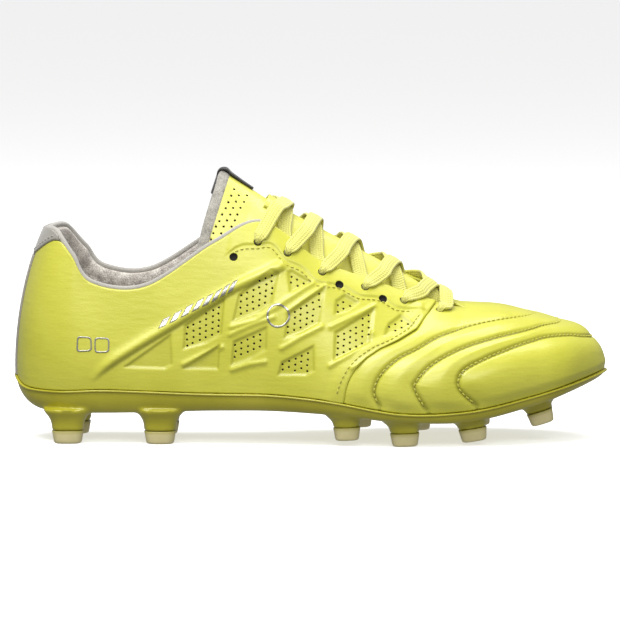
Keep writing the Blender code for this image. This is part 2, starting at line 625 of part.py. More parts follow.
def half_lace(side):
    """One half of the lace, from its tail to the toe-end eyelet, side by side up the throat."""
    tail = []
    for k, t in TAIL[::-1]:
        depth = UNDER + TAIL_SLACK*min(1, (TAIL[0][1] - t)/.06)
        tail.append(skin(k if side < 0 else STATIONS - k, t, depth))
    points = list(tail)
    for index in range(len(EYELETS)):
        thread = THREAD if index else THREAD[2:]
        points += [eyelet_point(index, side, *place) for place in thread]
        if index < len(EYELETS) - 1:
            points += crossing(index, side)
            side = -side
    return points, side


def make_lace():
    """One lace threaded criss-cross, with its two tails tucked inside and a tip on each."""
    first, end_side = half_lace(-1)
    second, _ = half_lace(1)
    start, end = (eyelet_point(-1, side, *THREAD[-1]) for side in (end_side, -end_side))
    bar = [start + (end - start)*share + np.array([0, 0, BAR_HEIGHT*math.sin(math.pi*share)])
           for share in (.25, .5, .75)]
    route = smooth_path(first + bar + second[::-1], .0060)
    tube("lace", route, LACE_RADIUS, "lace", 1)
    for side, name in ((-1, "lateral"), (1, "medial")):
        k = np.linspace(8.33, 8.95, 5)
        u = k if side < 0 else STATIONS - k
        tube("lace_tip_" + name, skin(u, TAIL_HEIGHT + 0*u, UNDER + TAIL_SLACK), LACE_TIP_RADIUS, "clear", 2)


def build():
    clear_scene()
    for name in ("football_boot", "cutters"):
        bpy.context.scene.collection.children.link(bpy.data.collections.new(name))
    make_sole()
    make_upper()
    make_tongue()
    make_lace()


build()
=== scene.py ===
"""The finished look of a low-cut leather football boot, built piece by piece as a boot is made."""
import math

import bmesh
import bpy
import numpy as np
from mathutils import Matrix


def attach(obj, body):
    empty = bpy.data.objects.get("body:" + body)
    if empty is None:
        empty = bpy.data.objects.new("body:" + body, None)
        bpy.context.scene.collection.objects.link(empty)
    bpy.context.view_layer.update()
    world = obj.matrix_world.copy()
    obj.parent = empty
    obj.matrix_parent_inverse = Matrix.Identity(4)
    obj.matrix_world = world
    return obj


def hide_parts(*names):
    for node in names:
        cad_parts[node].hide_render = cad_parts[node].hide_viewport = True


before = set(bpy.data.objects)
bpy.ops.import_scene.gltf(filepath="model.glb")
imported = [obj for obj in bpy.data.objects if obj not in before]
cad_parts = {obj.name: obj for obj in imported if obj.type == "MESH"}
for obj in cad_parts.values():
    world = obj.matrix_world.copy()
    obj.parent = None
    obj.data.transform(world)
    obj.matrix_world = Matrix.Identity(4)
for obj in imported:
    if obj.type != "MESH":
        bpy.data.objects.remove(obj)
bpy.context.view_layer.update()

# ---- studio ----
# A pale sweep of paper under the boot, lit by large soft boxes from above and in front.
# The camera stands level with the boot's outer side, a little above it, with a long lens.
CAMERA_AIM = (-0.0006, 0.0, 0.0625)
CAMERA_DISTANCE = 3.0
CAMERA_RISE = math.radians(5.5)
FIELD_WIDTH = 0.3016
SENSOR = 36.0

camera = bpy.data.objects.new("camera", bpy.data.cameras.new("camera"))
bpy.context.scene.collection.objects.link(camera)
camera.location = (CAMERA_AIM[0], -CAMERA_DISTANCE*math.cos(CAMERA_RISE),
                   CAMERA_AIM[2] + CAMERA_DISTANCE*math.sin(CAMERA_RISE))
camera.rotation_euler = (math.pi/2 - CAMERA_RISE, 0, 0)
camera.data.sensor_width = SENSOR
camera.data.lens = SENSOR*CAMERA_DISTANCE/FIELD_WIDTH
camera.data.clip_end = 20
bpy.context.scene.camera = camera
bpy.context.scene.view_settings.view_transform = "Standard"


def soft_box(name, place, aim, size, power):
    """A rectangular studio light at a place, turned to its aim."""
    lamp = bpy.data.lights.new(name, "AREA")
    lamp.shape = "RECTANGLE"
    lamp.size, lamp.size_y = size
    lamp.energy = power
    light = bpy.data.objects.new(name, lamp)
    bpy.context.scene.collection.objects.link(light)
    x, y, z = (there - here for here, there in zip(place, aim))
    light.location = place
    light.rotation_euler = (math.atan2(math.hypot(x, y), -z), 0, math.atan2(y, x) - math.pi/2)


soft_box("key_light", (-0.35, -0.55, 1.15), (0, 0, .05), (0.7, 0.55), 12.5)
soft_box("top_light", (0.15, 0.25, 1.2), (0, 0, .05), (1.0, 0.6), 9.5)
soft_box("front_light", (0.1, -1.2, 0.80), (0, 0, .06), (1.2, 0.4), 7.5)
world = bpy.data.worlds.new("studio")
world.use_nodes = True
world.node_tree.nodes["Background"].inputs["Color"].default_value = (1, 1, 1, 1)
world.node_tree.nodes["Background"].inputs["Strength"].default_value = 0.34
bpy.context.scene.world = world


class Socket:
    """A shader output that takes part in sums; a sum adds its Math node to the material."""

    def __init__(self, shader, link):
        self.shader, self.link = shader, link

    def _math(self, operation, *values):
        return self.shader.node("ShaderNodeMath", {"operation": operation}, *values)

    def __add__(self, other):
        return self._math("ADD", self, other)

    def __sub__(self, other):
        return self._math("SUBTRACT", self, other)

    def __rsub__(self, other):
        return self._math("SUBTRACT", other, self)

    def __mul__(self, other):
        return self._math("MULTIPLY", self, other)

    __radd__ = __add__
    __rmul__ = __mul__


class Finish:
    """A Principled material, with one method that adds any node."""

    def __init__(self, name, roughness=0.5, metallic=0.0, **uniform):
        self.material = bpy.data.materials.new(name)
        self.material.use_nodes = True
        self.tree = self.material.node_tree
        self.shader = self.tree.nodes["Principled BSDF"]
        self.shader.inputs["Roughness"].default_value = roughness
        self.shader.inputs["Metallic"].default_value = metallic
        for socket, value in uniform.items():
            self.shader.inputs[socket.replace("_", " ")].default_value = value

    def node(self, kind, settings, *values, output=0, places=None, **named):
        """Add a node: its settings first, then its sockets in order, by number (places) or by name."""
        made = self.tree.nodes.new(kind)
        for setting, value in settings.items():
            if setting == "stops":
                ramp = made.color_ramp.elements
                while len(ramp) < len(value):
                    ramp.new(0.5)
                for stop, (place, colour) in zip(ramp, value):
                    stop.position, stop.color = place, (*colour, 1)
            else:
                setattr(made, setting, value)
        named = {name.replace("_", " "): value for name, value in named.items()}
        for key, value in [*enumerate(values), *(places or {}).items(), *named.items()]:
            if isinstance(value, Socket):
                self.tree.links.new(value.link, made.inputs[key])
            else:
                made.inputs[key].default_value = value
        return Socket(self, made.outputs[output])

    def place(self):
        """Object coordinates, in metres."""
        return self.node("ShaderNodeTexCoord", {}, output="Object")

    def noise(self, scale, detail=3.0, vector=None, stretch=None):
        """Cloudy noise with features of about 1/scale metres, 0 to 1."""
        vector = vector or self.place()
        if stretch:
            vector = self.node("ShaderNodeMapping", {}, vector, Scale=stretch)
        return self.node("ShaderNodeTexNoise", {}, Vector=vector, Scale=scale, Detail=detail)

    def ramp(self, value, *stops):
        """Colour read off a row of (place, colour) stops."""
        return self.node("ShaderNodeValToRGB", {"stops": stops}, value)

    def mix(self, share, first, second):
        """Colour between two colours."""
        first, second = (end if isinstance(end, Socket) else (*end, 1) for end in (first, second))
        places = {0: share, 6: first, 7: second}
        return self.node("ShaderNodeMix", {"data_type": "RGBA"}, output=2, places=places)

    def attribute(self, name):
        """A number stored on the mesh's points."""
        return self.node("ShaderNodeAttribute", {"attribute_name": name}, output="Fac")

    def surface(self, colour=None, roughness=None, height=None, relief=0.0002, coat=None):
        """Join the sums to the shader."""
        for key, value in (("Base Color", colour), ("Roughness", roughness), ("Coat Weight", coat)):
            if isinstance(value, Socket):
                self.tree.links.new(value.link, self.shader.inputs[key])
            elif value is not None:
                self.shader.inputs[key].default_value = (*value, 1) if key == "Base Color" else value
        if height is not None:
            bump = self.node("ShaderNodeBump", {}, Strength=1.0, Distance=relief, Height=height)
            self.tree.links.new(bump.link, self.shader.inputs["Normal"])
        return self.material


floor_mesh = bpy.data.meshes.new("floor")
FLOOR_REACH = 12.0
corners = [(-1, -1), (1, -1), (1, 1), (-1, 1)]
floor_mesh.from_pydata([(x*FLOOR_REACH, y*FLOOR_REACH, 0) for x, y in corners], [], [(0, 1, 2, 3)])
floor = bpy.data.objects.new("floor", floor_mesh)
bpy.context.scene.collection.objects.link(floor)
paper = Finish("paper", roughness=0.9, Emission_Color=(1, 1, 1, 1), Emission_Strength=0.55)
floor.data.materials.append(paper.surface(colour=(.93, .93, .93)))
floor.visible_diffuse = floor.visible_glossy = False       # the paper throws no light up at the boot

# ---- sole plate ----
# One injection-moulded TPU plate, glossy and a little see-through, with its twelve stud bodies.
# It is a shallow tray: the lasted upper is glued into it up to the rim.
CENTRE_X, GROUND = 0.14575, 0.0015
STATIONS, TOE, THROAT = 28, 14, 10
RIM_OUT, PLATE, TIP_HEIGHT, GAP = 0.0003, 0.0026, 0.0064, 0.0004
FEATHER_X = [.0025, .008, .024, .044, .066, .088, .106, .124, .142, .158, .190, .222, .250, .272, .2890]
FEATHER_LAT = [0, -.0175, -.0290, -.0322, -.0330, -.0340, -.0360, -.0390, -.0425, -.0452, -.0482,
               -.0450, -.0362, -.0235, .0070]
FEATHER_MED = [0, .0175, .0290, .0310, .0295, .0275, .0275, .0295, .0335, .0380, .0450, .0458, .0415,
               .0330, .0070]
FEATHER_Z = [.0336, .0288, .0278, .0286, .0280, .0272, .0270, .0270, .0258, .0238, .0186, .0196, .0252,
             .0308, .0350]
PLATE_Z = [.0182, .0170, .0162, .0164, .0168, .0176, .0180, .0182, .0176, .0166, .0136, .0136, .0190,
           .0250, .0300]
PLATE_ROUND = [.0130, .0110, .0085, .0075, .0070, .0065, .0065, .0065, .0060, .0055, .0050, .0050, .0055,
               .0065, .0080]
# name, x from the heel, y, base z, length, half width, half depth, lean forward in degrees
STUDS = [
    ("heel_back_lateral", .0280, -.0215, .0185, .0170, .0074, .0062, 0),
    ("heel_front_lateral", .0727, -.0235, .0185, .0170, .0074, .0062, 0),
    ("heel_back_medial", .0300, .0210, .0185, .0170, .0074, .0062, 0),
    ("heel_front_medial", .0735, .0190, .0185, .0170, .0074, .0062, 0),
    ("waist_lateral", .1626, -.0335, .0178, .0135, .0063, .0056, 2),
    ("waist_medial", .1690, .0270, .0178, .0140, .0063, .0056, 2),
    ("ball_lateral", .1905, -.0360, .0152, .0135, .0068, .0058, 2),
    ("ball_medial", .1975, .0330, .0152, .0135, .0068, .0058, 2),
    ("front_lateral", .2225, -.0310, .0160, .0125, .0066, .0056, 9),
    ("front_medial", .2260, .0330, .0160, .0125, .0066, .0056, 9),
    ("toe_lateral", .2545, -.0175, .0222, .0122, .0062, .0052, 17),
    ("toe_medial", .2555, .0230, .0222, .0122, .0062, .0052, 17),
]


def unit(vectors):
    """The vectors at length 1."""
    return vectors / np.maximum(np.linalg.norm(vectors, axis=-1, keepdims=True), 1e-12)


def squared(turns, power):
    """Cosine and sine of the turns, each raised to a power with its sign kept: a squared-off circle."""
    return [np.sign(part)*np.abs(part)**power for part in (np.cos(turns), np.sin(turns))]


def reach_along(path):
    """Distance from a path's first point to each of its points."""
    return np.concatenate([[0], np.cumsum(np.linalg.norm(np.diff(path, axis=0), axis=1))])


def on_side(k, side):
    """Station number on the lateral (side -1) or medial (side 1) half for station k from the heel."""
    return k if side < 0 else STATIONS - k


def both_sides(lateral, medial):
    """A closed table of stations: lateral 0 to 14, then medial back from 13 to 1."""
    return np.concatenate([np.asarray(lateral, float), np.asarray(medial, float)[-2:0:-1]])


def frame_points(points):
    """Points measured from the heel, moved to the boot's frame."""
    return np.asarray(points, float) - np.array([CENTRE_X, 0, GROUND])


def smooth_row(before, start, end, after, share):
    """Catmull-Rom: the cubic through start and end whose slopes point to their neighbours."""
    return .5 * (2*start + (end - before)*share + (2*before - 5*start + 4*end - after)*share**2
                 + (3*start - before - 3*end + after)*share**3)


def around(table, u):
    """A closed table of stations read at station u."""
    table = np.asarray(table, float)
    table = table[:, None] if table.ndim == 1 else table
    u = np.asarray(u, float) % STATIONS
    base = np.floor(u).astype(int)
    rows = [table[(base + step) % len(table)] for step in (-1, 0, 1, 2)]
    return smooth_row(*rows, (u - base)[..., None])


FEATHER = frame_points(np.stack([both_sides(FEATHER_X, FEATHER_X), both_sides(FEATHER_LAT, FEATHER_MED),
                                 both_sides(FEATHER_Z, FEATHER_Z)], 1))


def station(u):
    """Distance in stations from the heel, the same on both sides."""
    u = np.asarray(u, float) % STATIONS
    return np.minimum(u, STATIONS - u)


def outward(u):
    """Level vector square to the feather line."""
    step = 1e-3
    run = around(FEATHER, np.asarray(u) + step) - around(FEATHER, np.asarray(u) - step)
    return unit(np.stack([run[..., 1], -run[..., 0], 0*run[..., 0]], -1))


def bed_middle(u):
    """Middle line of the sole, level with the feather line, for the station of u."""
    k = np.clip(station(u), 2.0, 12.6)
    return .5*(around(FEATHER, k) + around(FEATHER, STATIONS - k))


def plate_face(u, s):
    """Outside of the plate: a quarter ellipse from the rim down, then straight in to the middle line."""
    u, s = np.broadcast_arrays(np.asarray(u, float), np.asarray(s, float))
    rim, out = around(FEATHER, u) + RIM_OUT*outward(u), outward(u)
    inset = around(both_sides(PLATE_ROUND, PLATE_ROUND), u)
    low = around(both_sides(PLATE_Z, PLATE_Z), u) - GROUND
    bend = np.clip(s/.5, 0, 1)[..., None]*math.pi/2
    edge = rim - inset*(1 - np.cos(bend))*out
    edge[..., 2:] = rim[..., 2:] + (low - rim[..., 2:])*np.sin(bend)
    middle = bed_middle(u)
    middle[..., 2:] = around(both_sides(PLATE_Z, PLATE_Z), np.clip(station(u), 2.0, 12.6)) - GROUND
    return edge + (middle - edge)*np.clip(s/.5 - 1, 0, 1)[..., None]


def stud_rings(stud, distances, widths, sides=32):
    """Oval rings along a stud's leaning axis: each a squared-off ellipse, scaled by its width."""
    _, x, y, z, _, half_width, half_depth, lean = stud
    axis = np.array([math.sin(math.radians(lean)), 0, -math.cos(math.radians(lean))])
    forward = np.array([-axis[2], 0, axis[0]])
    turns = np.linspace(0, 2*math.pi, sides, endpoint=False)[:, None]
    across, inward = squared(turns, .72)
    return np.stack([frame_points([x, y, z]) + axis*distance + width*(half_width*across*forward
                     + half_depth*inward*np.array([0, 1, 0])) for distance, width in zip(distances, widths)])


def new_piece(name, points, faces, material, body="root"):
    """A mesh object from points and faces, riding on a body."""
    mesh = bpy.data.meshes.new(name)
    mesh.from_pydata(points.reshape(-1, 3).tolist(), [], faces.tolist() if hasattr(faces, "tolist") else faces)
    mesh.materials.append(material)
    mesh.shade_smooth()
    piece = bpy.data.objects.new(name, mesh)
    bpy.context.scene.collection.objects.link(piece)
    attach(piece, body)
    return piece


def store(piece, name, values):
    """Keep a number for each of a piece's points, for its material to read."""
    piece.data.attributes.new(name, "FLOAT", "POINT").data.foreach_set("value", np.ravel(values))


def grid_faces(rows, columns, flip=False, closed=False):
    """Four-sided faces over a grid of points; closed joins the last column to the first."""
    index = np.arange(rows*columns).reshape(rows, columns)
    if closed:
        index = np.concatenate([index, index[:, :1]], 1)
    faces = np.stack([index[:-1, :-1], index[1:, :-1], index[1:, 1:], index[:-1, 1:]], -1).reshape(-1, 4)
    return faces[:, ::-1] if flip else faces


def end_caps(rows, sides):
    """The two end faces of a tube of rings."""
    return [list(range(sides)), list(range((rows - 1)*sides, rows*sides))[::-1]]


def weld(piece, distance=2e-5):
    """Join doubled points and drop faces that have no area."""
    shape = bmesh.new()
    shape.from_mesh(piece.data)
    bmesh.ops.remove_doubles(shape, verts=shape.verts, dist=distance)
    bmesh.ops.dissolve_degenerate(shape, edges=shape.edges, dist=distance/4)
    shape.to_mesh(piece.data)
    shape.free()


def outward_faces(mesh):
    """Turn every face of closed shapes outwards."""
    shape = bmesh.new()
    shape.from_mesh(mesh)
    bmesh.ops.recalc_face_normals(shape, faces=shape.faces)
    shape.to_mesh(mesh)
    shape.free()


def settle(piece):
    """Turn a piece's modifiers into its mesh."""
    graph = bpy.context.evaluated_depsgraph_get()
    mesh = bpy.data.meshes.new_from_object(piece.evaluated_get(graph), depsgraph=graph)
    piece.modifiers.clear()
    old, piece.data = piece.data, mesh
    bpy.data.meshes.remove(old)
    mesh.shade_smooth()


def tpu():
    """Olive-lime TPU: flow clouds, fine moulding grain and a wet gloss."""
    made = Finish("plate_tpu", roughness=0.3, IOR=1.5, Coat_Weight=0.25, Coat_Roughness=0.12)
    clouds = made.noise(45, 4)
    fine = made.noise(2600, 2)
    colour = made.ramp(clouds, (.30, (.43, .39, .020)), (.55, (.49, .45, .028)), (.75, (.55, .50, .040)))
    return made.surface(colour=colour, roughness=made.noise(160, 3)*.14 + .24, height=fine + clouds*.6,
                        relief=.00005)


plate_material = tpu()
plate_u = np.linspace(0, STATIONS, 421)[:, None]
plate_s = np.concatenate([np.linspace(0, .5, 14), np.linspace(.5, 1, 26)[1:]])[None]
plate_points = plate_face(plate_u, plate_s)
plate_faces = grid_faces(*plate_points.shape[:2], flip=True)
sole_plate = new_piece("sole_plate", plate_points, plate_faces, plate_material)
weld(sole_plate)
wall = sole_plate.modifiers.new("wall", "SOLIDIFY")
wall.thickness, wall.offset = PLATE, -1
settle(sole_plate)
FLARE = 8                                   # rings in the concave foot of a stud
tray = bmesh.new()
tray.from_mesh(sole_plate.data)
for stud in STUDS:
    body_end = stud[4] - TIP_HEIGHT
    bend = np.linspace(0, 1, FLARE)
    distances = np.concatenate([[0], .0016 + (body_end - .0018)*bend, [body_end]])
    widths = np.concatenate([[1.62], 1.045 + .50*(1 - bend)**2.6, [1.04]])
    rings = stud_rings(stud, distances, widths)
    rows = [[tray.verts.new(point) for point in ring] for ring in rings]
    for upper_row, lower_row in zip(rows[:-1], rows[1:]):
        for step in range(len(upper_row)):
            after = (step + 1) % len(upper_row)
            tray.faces.new((upper_row[step], upper_row[after], lower_row[after], lower_row[step]))
    tray.faces.new(rows[0][::-1])
    tray.faces.new(rows[-1])
tray.to_mesh(sole_plate.data)
tray.free()
melt = sole_plate.modifiers.new("melt", "REMESH")
melt.mode, melt.voxel_size = "VOXEL", .00085
soften = sole_plate.modifiers.new("soften", "SMOOTH")
soften.factor, soften.iterations = .5, 7
settle(sole_plate)
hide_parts("outsole_plate")

# The moulded lip along the joint stands a little proud and catches the light.
LIP = .0008


def carried(name, path, frames, profile, material, body="root", closed_path=False):
    """A profile carried along a path: point = path + a*side + b*up for each (a, b) of the profile.

    frames holds the side and up vectors; profile is (rows, sides, 2) or (sides, 2)."""
    side, up = frames
    profile = np.broadcast_to(profile, (len(path),) + np.shape(profile)[-2:])
    points = path[:, None] + profile[..., :1]*side[:, None] + profile[..., 1:]*up[:, None]
    rows, sides = points.shape[:2]
    faces = grid_faces(rows, sides, closed=True).tolist()
    if closed_path:
        last = (rows - 1)*sides
        faces += [[last + step, step, (step + 1) % sides, last + (step + 1) % sides] for step in range(sides)]
    else:
        faces += end_caps(rows, sides)
    piece = new_piece(name, points, faces, material, body)
    outward_faces(piece.data)
    return piece


def circle(radius, sides=10, squash=1.0):
    """A round profile, its height scaled by squash."""
    turns = np.linspace(0, 2*math.pi, sides, endpoint=False)
    return radius*np.stack([np.cos(turns), squash*np.sin(turns)], 1)


lip_u = np.linspace(0, STATIONS, 420, endpoint=False)
lip_path = around(FEATHER, lip_u) + (RIM_OUT + .0001)*outward(lip_u) - np.array([0, 0, .0007])
up_axis = np.broadcast_to(np.array([0, 0, 1.]), lip_path.shape)
carried("sole_lip", lip_path, (outward(lip_u), up_axis), circle(LIP, 10, .7), plate_material,
        closed_path=True)

# ---- stud tips ----
# The second shot of the mould: frosted, nearly clear TPU over the end of each stud body.
# Their outline picks up the plate's colour where the two plastics meet.
# depth from the joint, width in shares of the stud's
TIP_PROFILE = [(0, 1.03), (.0004, 1.035), (.0024, .985), (.0046, .935), (.0056, .90), (.0061, .85),
               (.00638, .74), (.0064, .50), (.0064, .20)]


def frosted():
    """Clear TPU with a frosted skin: beige, greener towards the joint, with mould marks."""
    made = Finish("stud_tip_tpu", roughness=0.35, IOR=1.48, Coat_Weight=0.15)
    band = made.attribute("rise")
    mottle = made.noise(260, 3)
    body = made.mix(mottle, (.68, .60, .28), (.80, .71, .38))
    colour = made.mix(made.ramp(band, (.0, (0, 0, 0)), (.70, (.03, .03, .03)), (.93, (.55, .55, .55)),
                                (1.0, (.9, .9, .9))), body, (.42, .38, .06))
    return made.surface(colour=colour, roughness=mottle*.2 + .3, height=made.noise(2200, 2), relief=.00006)


tip_material = frosted()
for stud in STUDS:
    start = stud[4] - TIP_HEIGHT + GAP*.5
    distances = [start + depth*(TIP_HEIGHT - GAP*.5)/TIP_HEIGHT for depth, _ in TIP_PROFILE]
    rings = stud_rings(stud, distances, [width for _, width in TIP_PROFILE], 40)
    rows, sides = rings.shape[:2]
    faces = grid_faces(rows, sides, flip=True, closed=True).tolist()
    faces += end_caps(rows, sides)
    tip = new_piece("tip_" + stud[0], rings, faces, tip_material)
    rise = np.repeat([1 - depth/TIP_HEIGHT for depth, _ in TIP_PROFILE], sides)
    store(tip, "rise", rise)
    outward_faces(tip.data)
    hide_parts("stud_tip_" + stud[0])

# ---- insole board and heel wedge ----
# Pressed fibre board and grey foam, glued inside under the sockliner and hidden from outside.


def pressed(name, dark, light, scale):
    """A dull fibrous board or felt: flecks of two colours and a rough skin."""
    made = Finish(name, roughness=0.9)
    fleck = made.noise(scale, 5)
    return made.surface(colour=made.ramp(fleck, (.3, dark), (.7, light)), height=fleck, relief=.0002)


def finish_node(name, material):
    """Give a node that stays as it is its material."""
    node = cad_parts[name]
    node.data.materials.clear()
    node.data.materials.append(material)


foam_material = pressed("foam", (.55, .55, .50), (.70, .70, .65), 1400)
finish_node("insole_board", pressed("fibre_board", (.50, .43, .30), (.66, .60, .46), 900))

# ---- vamp ----
# The front of the upper: soft coated leather over thin wadding, lasted over the toe and quilted
# by three sewn channels that run from the sole over the ridge to the other side.
LEATHER, LINING, STIFFENER, COLLAR_PAD = 0.0014, 0.0008, 0.0012, 0.0030
COLLAR_END, TONGUE_TOP, TONGUE_ROOT = 5.6, 4.8, 10.05
TOP_LAT = [(.0165, 0, .1045), (.0215, -.0170, .1038), (.0300, -.0250, .0930), (.0400, -.0280, .0798),
           (.0660, -.0285, .0782), (.0990, -.0255, .0990), (.1230, -.0205, .1088), (.1500, -.0225, .0905),
           (.1780, -.0195, .0798), (.2020, -.0150, .0708), (.2210, -.0060, .0658)]
TOP_MED = [(.0165, 0, .1045), (.0245, .0170, .1045), (.0350, .0245, .0935), (.0450, .0265, .0832),
           (.0680, .0275, .0822), (.1000, .0245, .1015), (.1230, .0180, .1110), (.1500, .0130, .0970),
           (.1780, .0090, .0868), (.2020, .0050, .0765), (.2210, -.0060, .0658)]
RIDGE = [(.2210, -.0060, .0658), (.2360, .0000, .0662), (.2480, .0040, .0640), (.2580, .0080, .0614),
         (.2650, .0100, .0594)]
RIDGE_SLOPE = [(-.26, .25), (-.15, .12), (-.20, .06), (-.22, .03), (-.24, .0)]
LEAN_LAT = [.12, .18, .25, .20, .15, .12, .12, .15, .18, .22, .30, .32, .30, .22, .12]
LEAN_MED = [.12, .18, .22, .12, .05, .02, .02, .05, .12, .18, .28, .30, .28, .22, .12]
TURN_LAT = [22, 20, 14, 10, 10, 14, 32, 50, 56, 62, 75, 85, 85, 85, 85]
TURN_MED = [22, 20, 14, 10, 10, 14, 38, 62, 70, 78, 80, 85, 85, 85, 85]
RISE = [.32, .32, .33, .35, .35, .35, .36, .40, .45, .50, .56, .56, .56, .56, .60]
REACH = [.32, .32, .30, .30, .30, .32, .33, .34, .36, .40, .46, .48, .50, .52, .56]
EYELETS = [(5.95, .870), (6.50, .885), (7.10, .905), (7.85, .905), (8.60, .910), (9.40, .915)]
SPARE_EYELETS = [(5.45, .820), (7.45, .860), (8.25, .865)]
EYELET_RADIUS = .0020


def along(table, place, first, mirrored):
    """An open table read at a place; past its ends it runs straight on, or mirrors at its far end."""
    table = np.asarray(table, float)
    tail = table[-2] if mirrored else 2*table[-1] - table[-2]
    table = np.concatenate([[2*table[0] - table[1]], table, [tail], [tail]])
    place = np.asarray(place, float) - first
    base = np.clip(np.floor(place).astype(int), 0, len(table) - 4)
    rows = [table[base + step] for step in (0, 1, 2, 3)]
    return smooth_row(*rows, (place - base)[..., None])


TOP_EDGE = frame_points(both_sides(TOP_LAT + RIDGE[1:], TOP_MED + RIDGE[1:]))
LEANS = both_sides(LEAN_LAT, LEAN_MED)
TURNS = np.radians(both_sides(TURN_LAT, TURN_MED))
RISES = both_sides(RISE, RISE)
REACHES = both_sides(REACH, REACH)


def top_edge(u):
    """The foot opening's edge, and in front of the throat the ridge where both sides meet."""
    k = station(u)
    ridge = along(frame_points(RIDGE), np.clip(k, THROAT, TOE), THROAT, True)
    return np.where((k >= THROAT)[..., None], ridge, around(TOP_EDGE, u))


def ridge_normal(k):
    """Up vector on the vamp's ridge, from its slopes along and across."""
    places = np.arange(THROAT, TOE + 1)
    slopes = [np.interp(k, places, [pair[side] for pair in RIDGE_SLOPE]) for side in (0, 1)]
    return unit(np.stack([-slopes[0], -slopes[1], np.ones_like(slopes[0])], -1))


def form(u, t):
    """The upper's shape: at each station a cubic curve that leans out from the feather line and turns
    in to the top edge. Its four points are low, low + lean, high - turn and high."""
    u, t = np.broadcast_arrays(np.asarray(u, float), np.asarray(t, float))
    low, high, out, k = around(FEATHER, u), top_edge(u), outward(u), station(u)
    span = high - low
    size = np.linalg.norm(span, axis=-1, keepdims=True)
    up = np.array([0, 0, 1.])
    sway = span * np.array([1, 0, 0]) / size
    rise = low + unit(around(LEANS, u)*out + up + .5*sway) * around(RISES, u) * span[..., 2:3]
    turn = around(TURNS, u)
    side = unit(-np.sin(turn)*out + np.cos(turn)*up + .3*sway*(k < THROAT)[..., None])
    ridge_up = ridge_normal(k)
    flat = unit(-out + (out*ridge_up).sum(-1, keepdims=True)*ridge_up)
    blend = np.clip(k - THROAT + 1, 0, 1)[..., None]
    blend = blend*blend*(3 - 2*blend)
    arrive = high - unit(side*(1 - blend) + flat*blend) * around(REACHES, u) * size
    t = t[..., None]
    return (1-t)**3*low + 3*t*(1-t)**2*rise + 3*t*t*(1-t)*arrive + t**3*high


def form_normal(u, t):
    """Outward unit vector, from the differences of the form along u and along t."""
    u, t = np.broadcast_arrays(np.asarray(u, float), np.asarray(t, float))
    step = 2e-3
    mid = np.clip(t, step, 1 - step)
    across = form(u, mid + step) - form(u, mid - step)
    normal = unit(np.cross(form(u + step, mid) - form(u - step, mid), across))
    on_ridge = ((t > 1 - 1e-6) & (station(u) >= THROAT - 1e-6))[..., None]
    return np.where(on_ridge, ridge_normal(station(u)), normal)


def skin(u, t, depth=0.0):
    """A point of the upper, depth metres under its outer face."""
    return form(u, t) - np.asarray(depth)[..., None] * form_normal(u, t)


def floor_line(u):
    """Bottom edge of the leather, tucked behind the plate's rim."""
    return .002 + .008*np.clip((station(u) - 12.3)/1.2, 0, 1)


def near(points, path):
    """Distance of each point to the nearest of a path's points."""
    flat, best = points.reshape(-1, points.shape[-1]), None
    for start in range(0, len(path), 64):
        gap = np.linalg.norm(flat[:, None] - path[None, start:start + 64], axis=-1).min(1)
        best = gap if best is None else np.minimum(best, gap)
    return best.reshape(points.shape[:-1])


def spaced(path, pitch):
    """The same path with points about every pitch."""
    reach = reach_along(path)
    places = np.linspace(0, reach[-1], max(2, int(round(reach[-1]/pitch)) + 1))
    return np.stack([np.interp(places, reach, path[:, axis]) for axis in range(path.shape[1])], 1)


def drawn(points, pitch=.02, rounds=12):
    """A smooth line through points in the plane, with a point about every pitch."""
    places = np.linspace(0, len(points) - 1, (len(points) - 1)*rounds + 1)
    return spaced(along(points, places, 0, False), pitch)


def seam_station(t):
    """Where the quarter's front edge lies on the lateral side: it bows back at mid height."""
    return np.interp(t, [0, .04, .15, .27, .37, .47, .56, .68, .80, .90, 1.0],
                     [9.13, 9.12, 9.05, 8.99, 8.99, 9.06, 9.22, 9.32, 9.24, 9.20, 9.20])


def from_top(u, t):
    """Distance in metres down from the top edge."""
    return np.linalg.norm(form(u, 1) - form(u, t), axis=-1)


def leather(name, base=(.62, .61, .062), deep=(.56, .555, .045), light=(.67, .66, .085)):
    """Coated leather: soft clouds of tone, pebble grain and long fine wrinkles, with painted shade mixed in
    as a dark olive where the stored shade attribute is high, in grooves and recesses."""
    made = Finish(name, roughness=0.34, IOR=1.5, Coat_Weight=0.30, Coat_Roughness=0.24)
    clouds = made.noise(28, 4)
    grain = made.noise(1500, 3)
    wrinkle = made.noise(110, 4, stretch=(1, 1, 3.5))
    colour = made.ramp(clouds*.8 + grain*.2, (.32, deep), (.5, base), (.68, light))
    # painted shade: the leather is darkened towards a deep olive where the stored shade attribute is high
    colour = made.mix(made.attribute("press")*.70, colour, (.24, .235, .014))
    rough = grain*.16 + clouds*.14 + .24
    return made.surface(colour=colour, roughness=rough, height=grain*.22 + wrinkle*.7 + clouds*.3,
                        relief=.00030)


def sheet_piece(name, points, thickness, material, press=None, flip=False, body="root"):
    """A surface of points with a wall on its inner side, and a share of painted shade kept on each point."""
    piece = new_piece(name, points, grid_faces(*points.shape[:2], flip=flip), material, body)
    if press is not None:
        store(piece, "press", press)
    weld(piece)
    wall = piece.modifiers.new("wall", "SOLIDIFY")
    wall.thickness, wall.offset = thickness, -1
    settle(piece)
    return piece


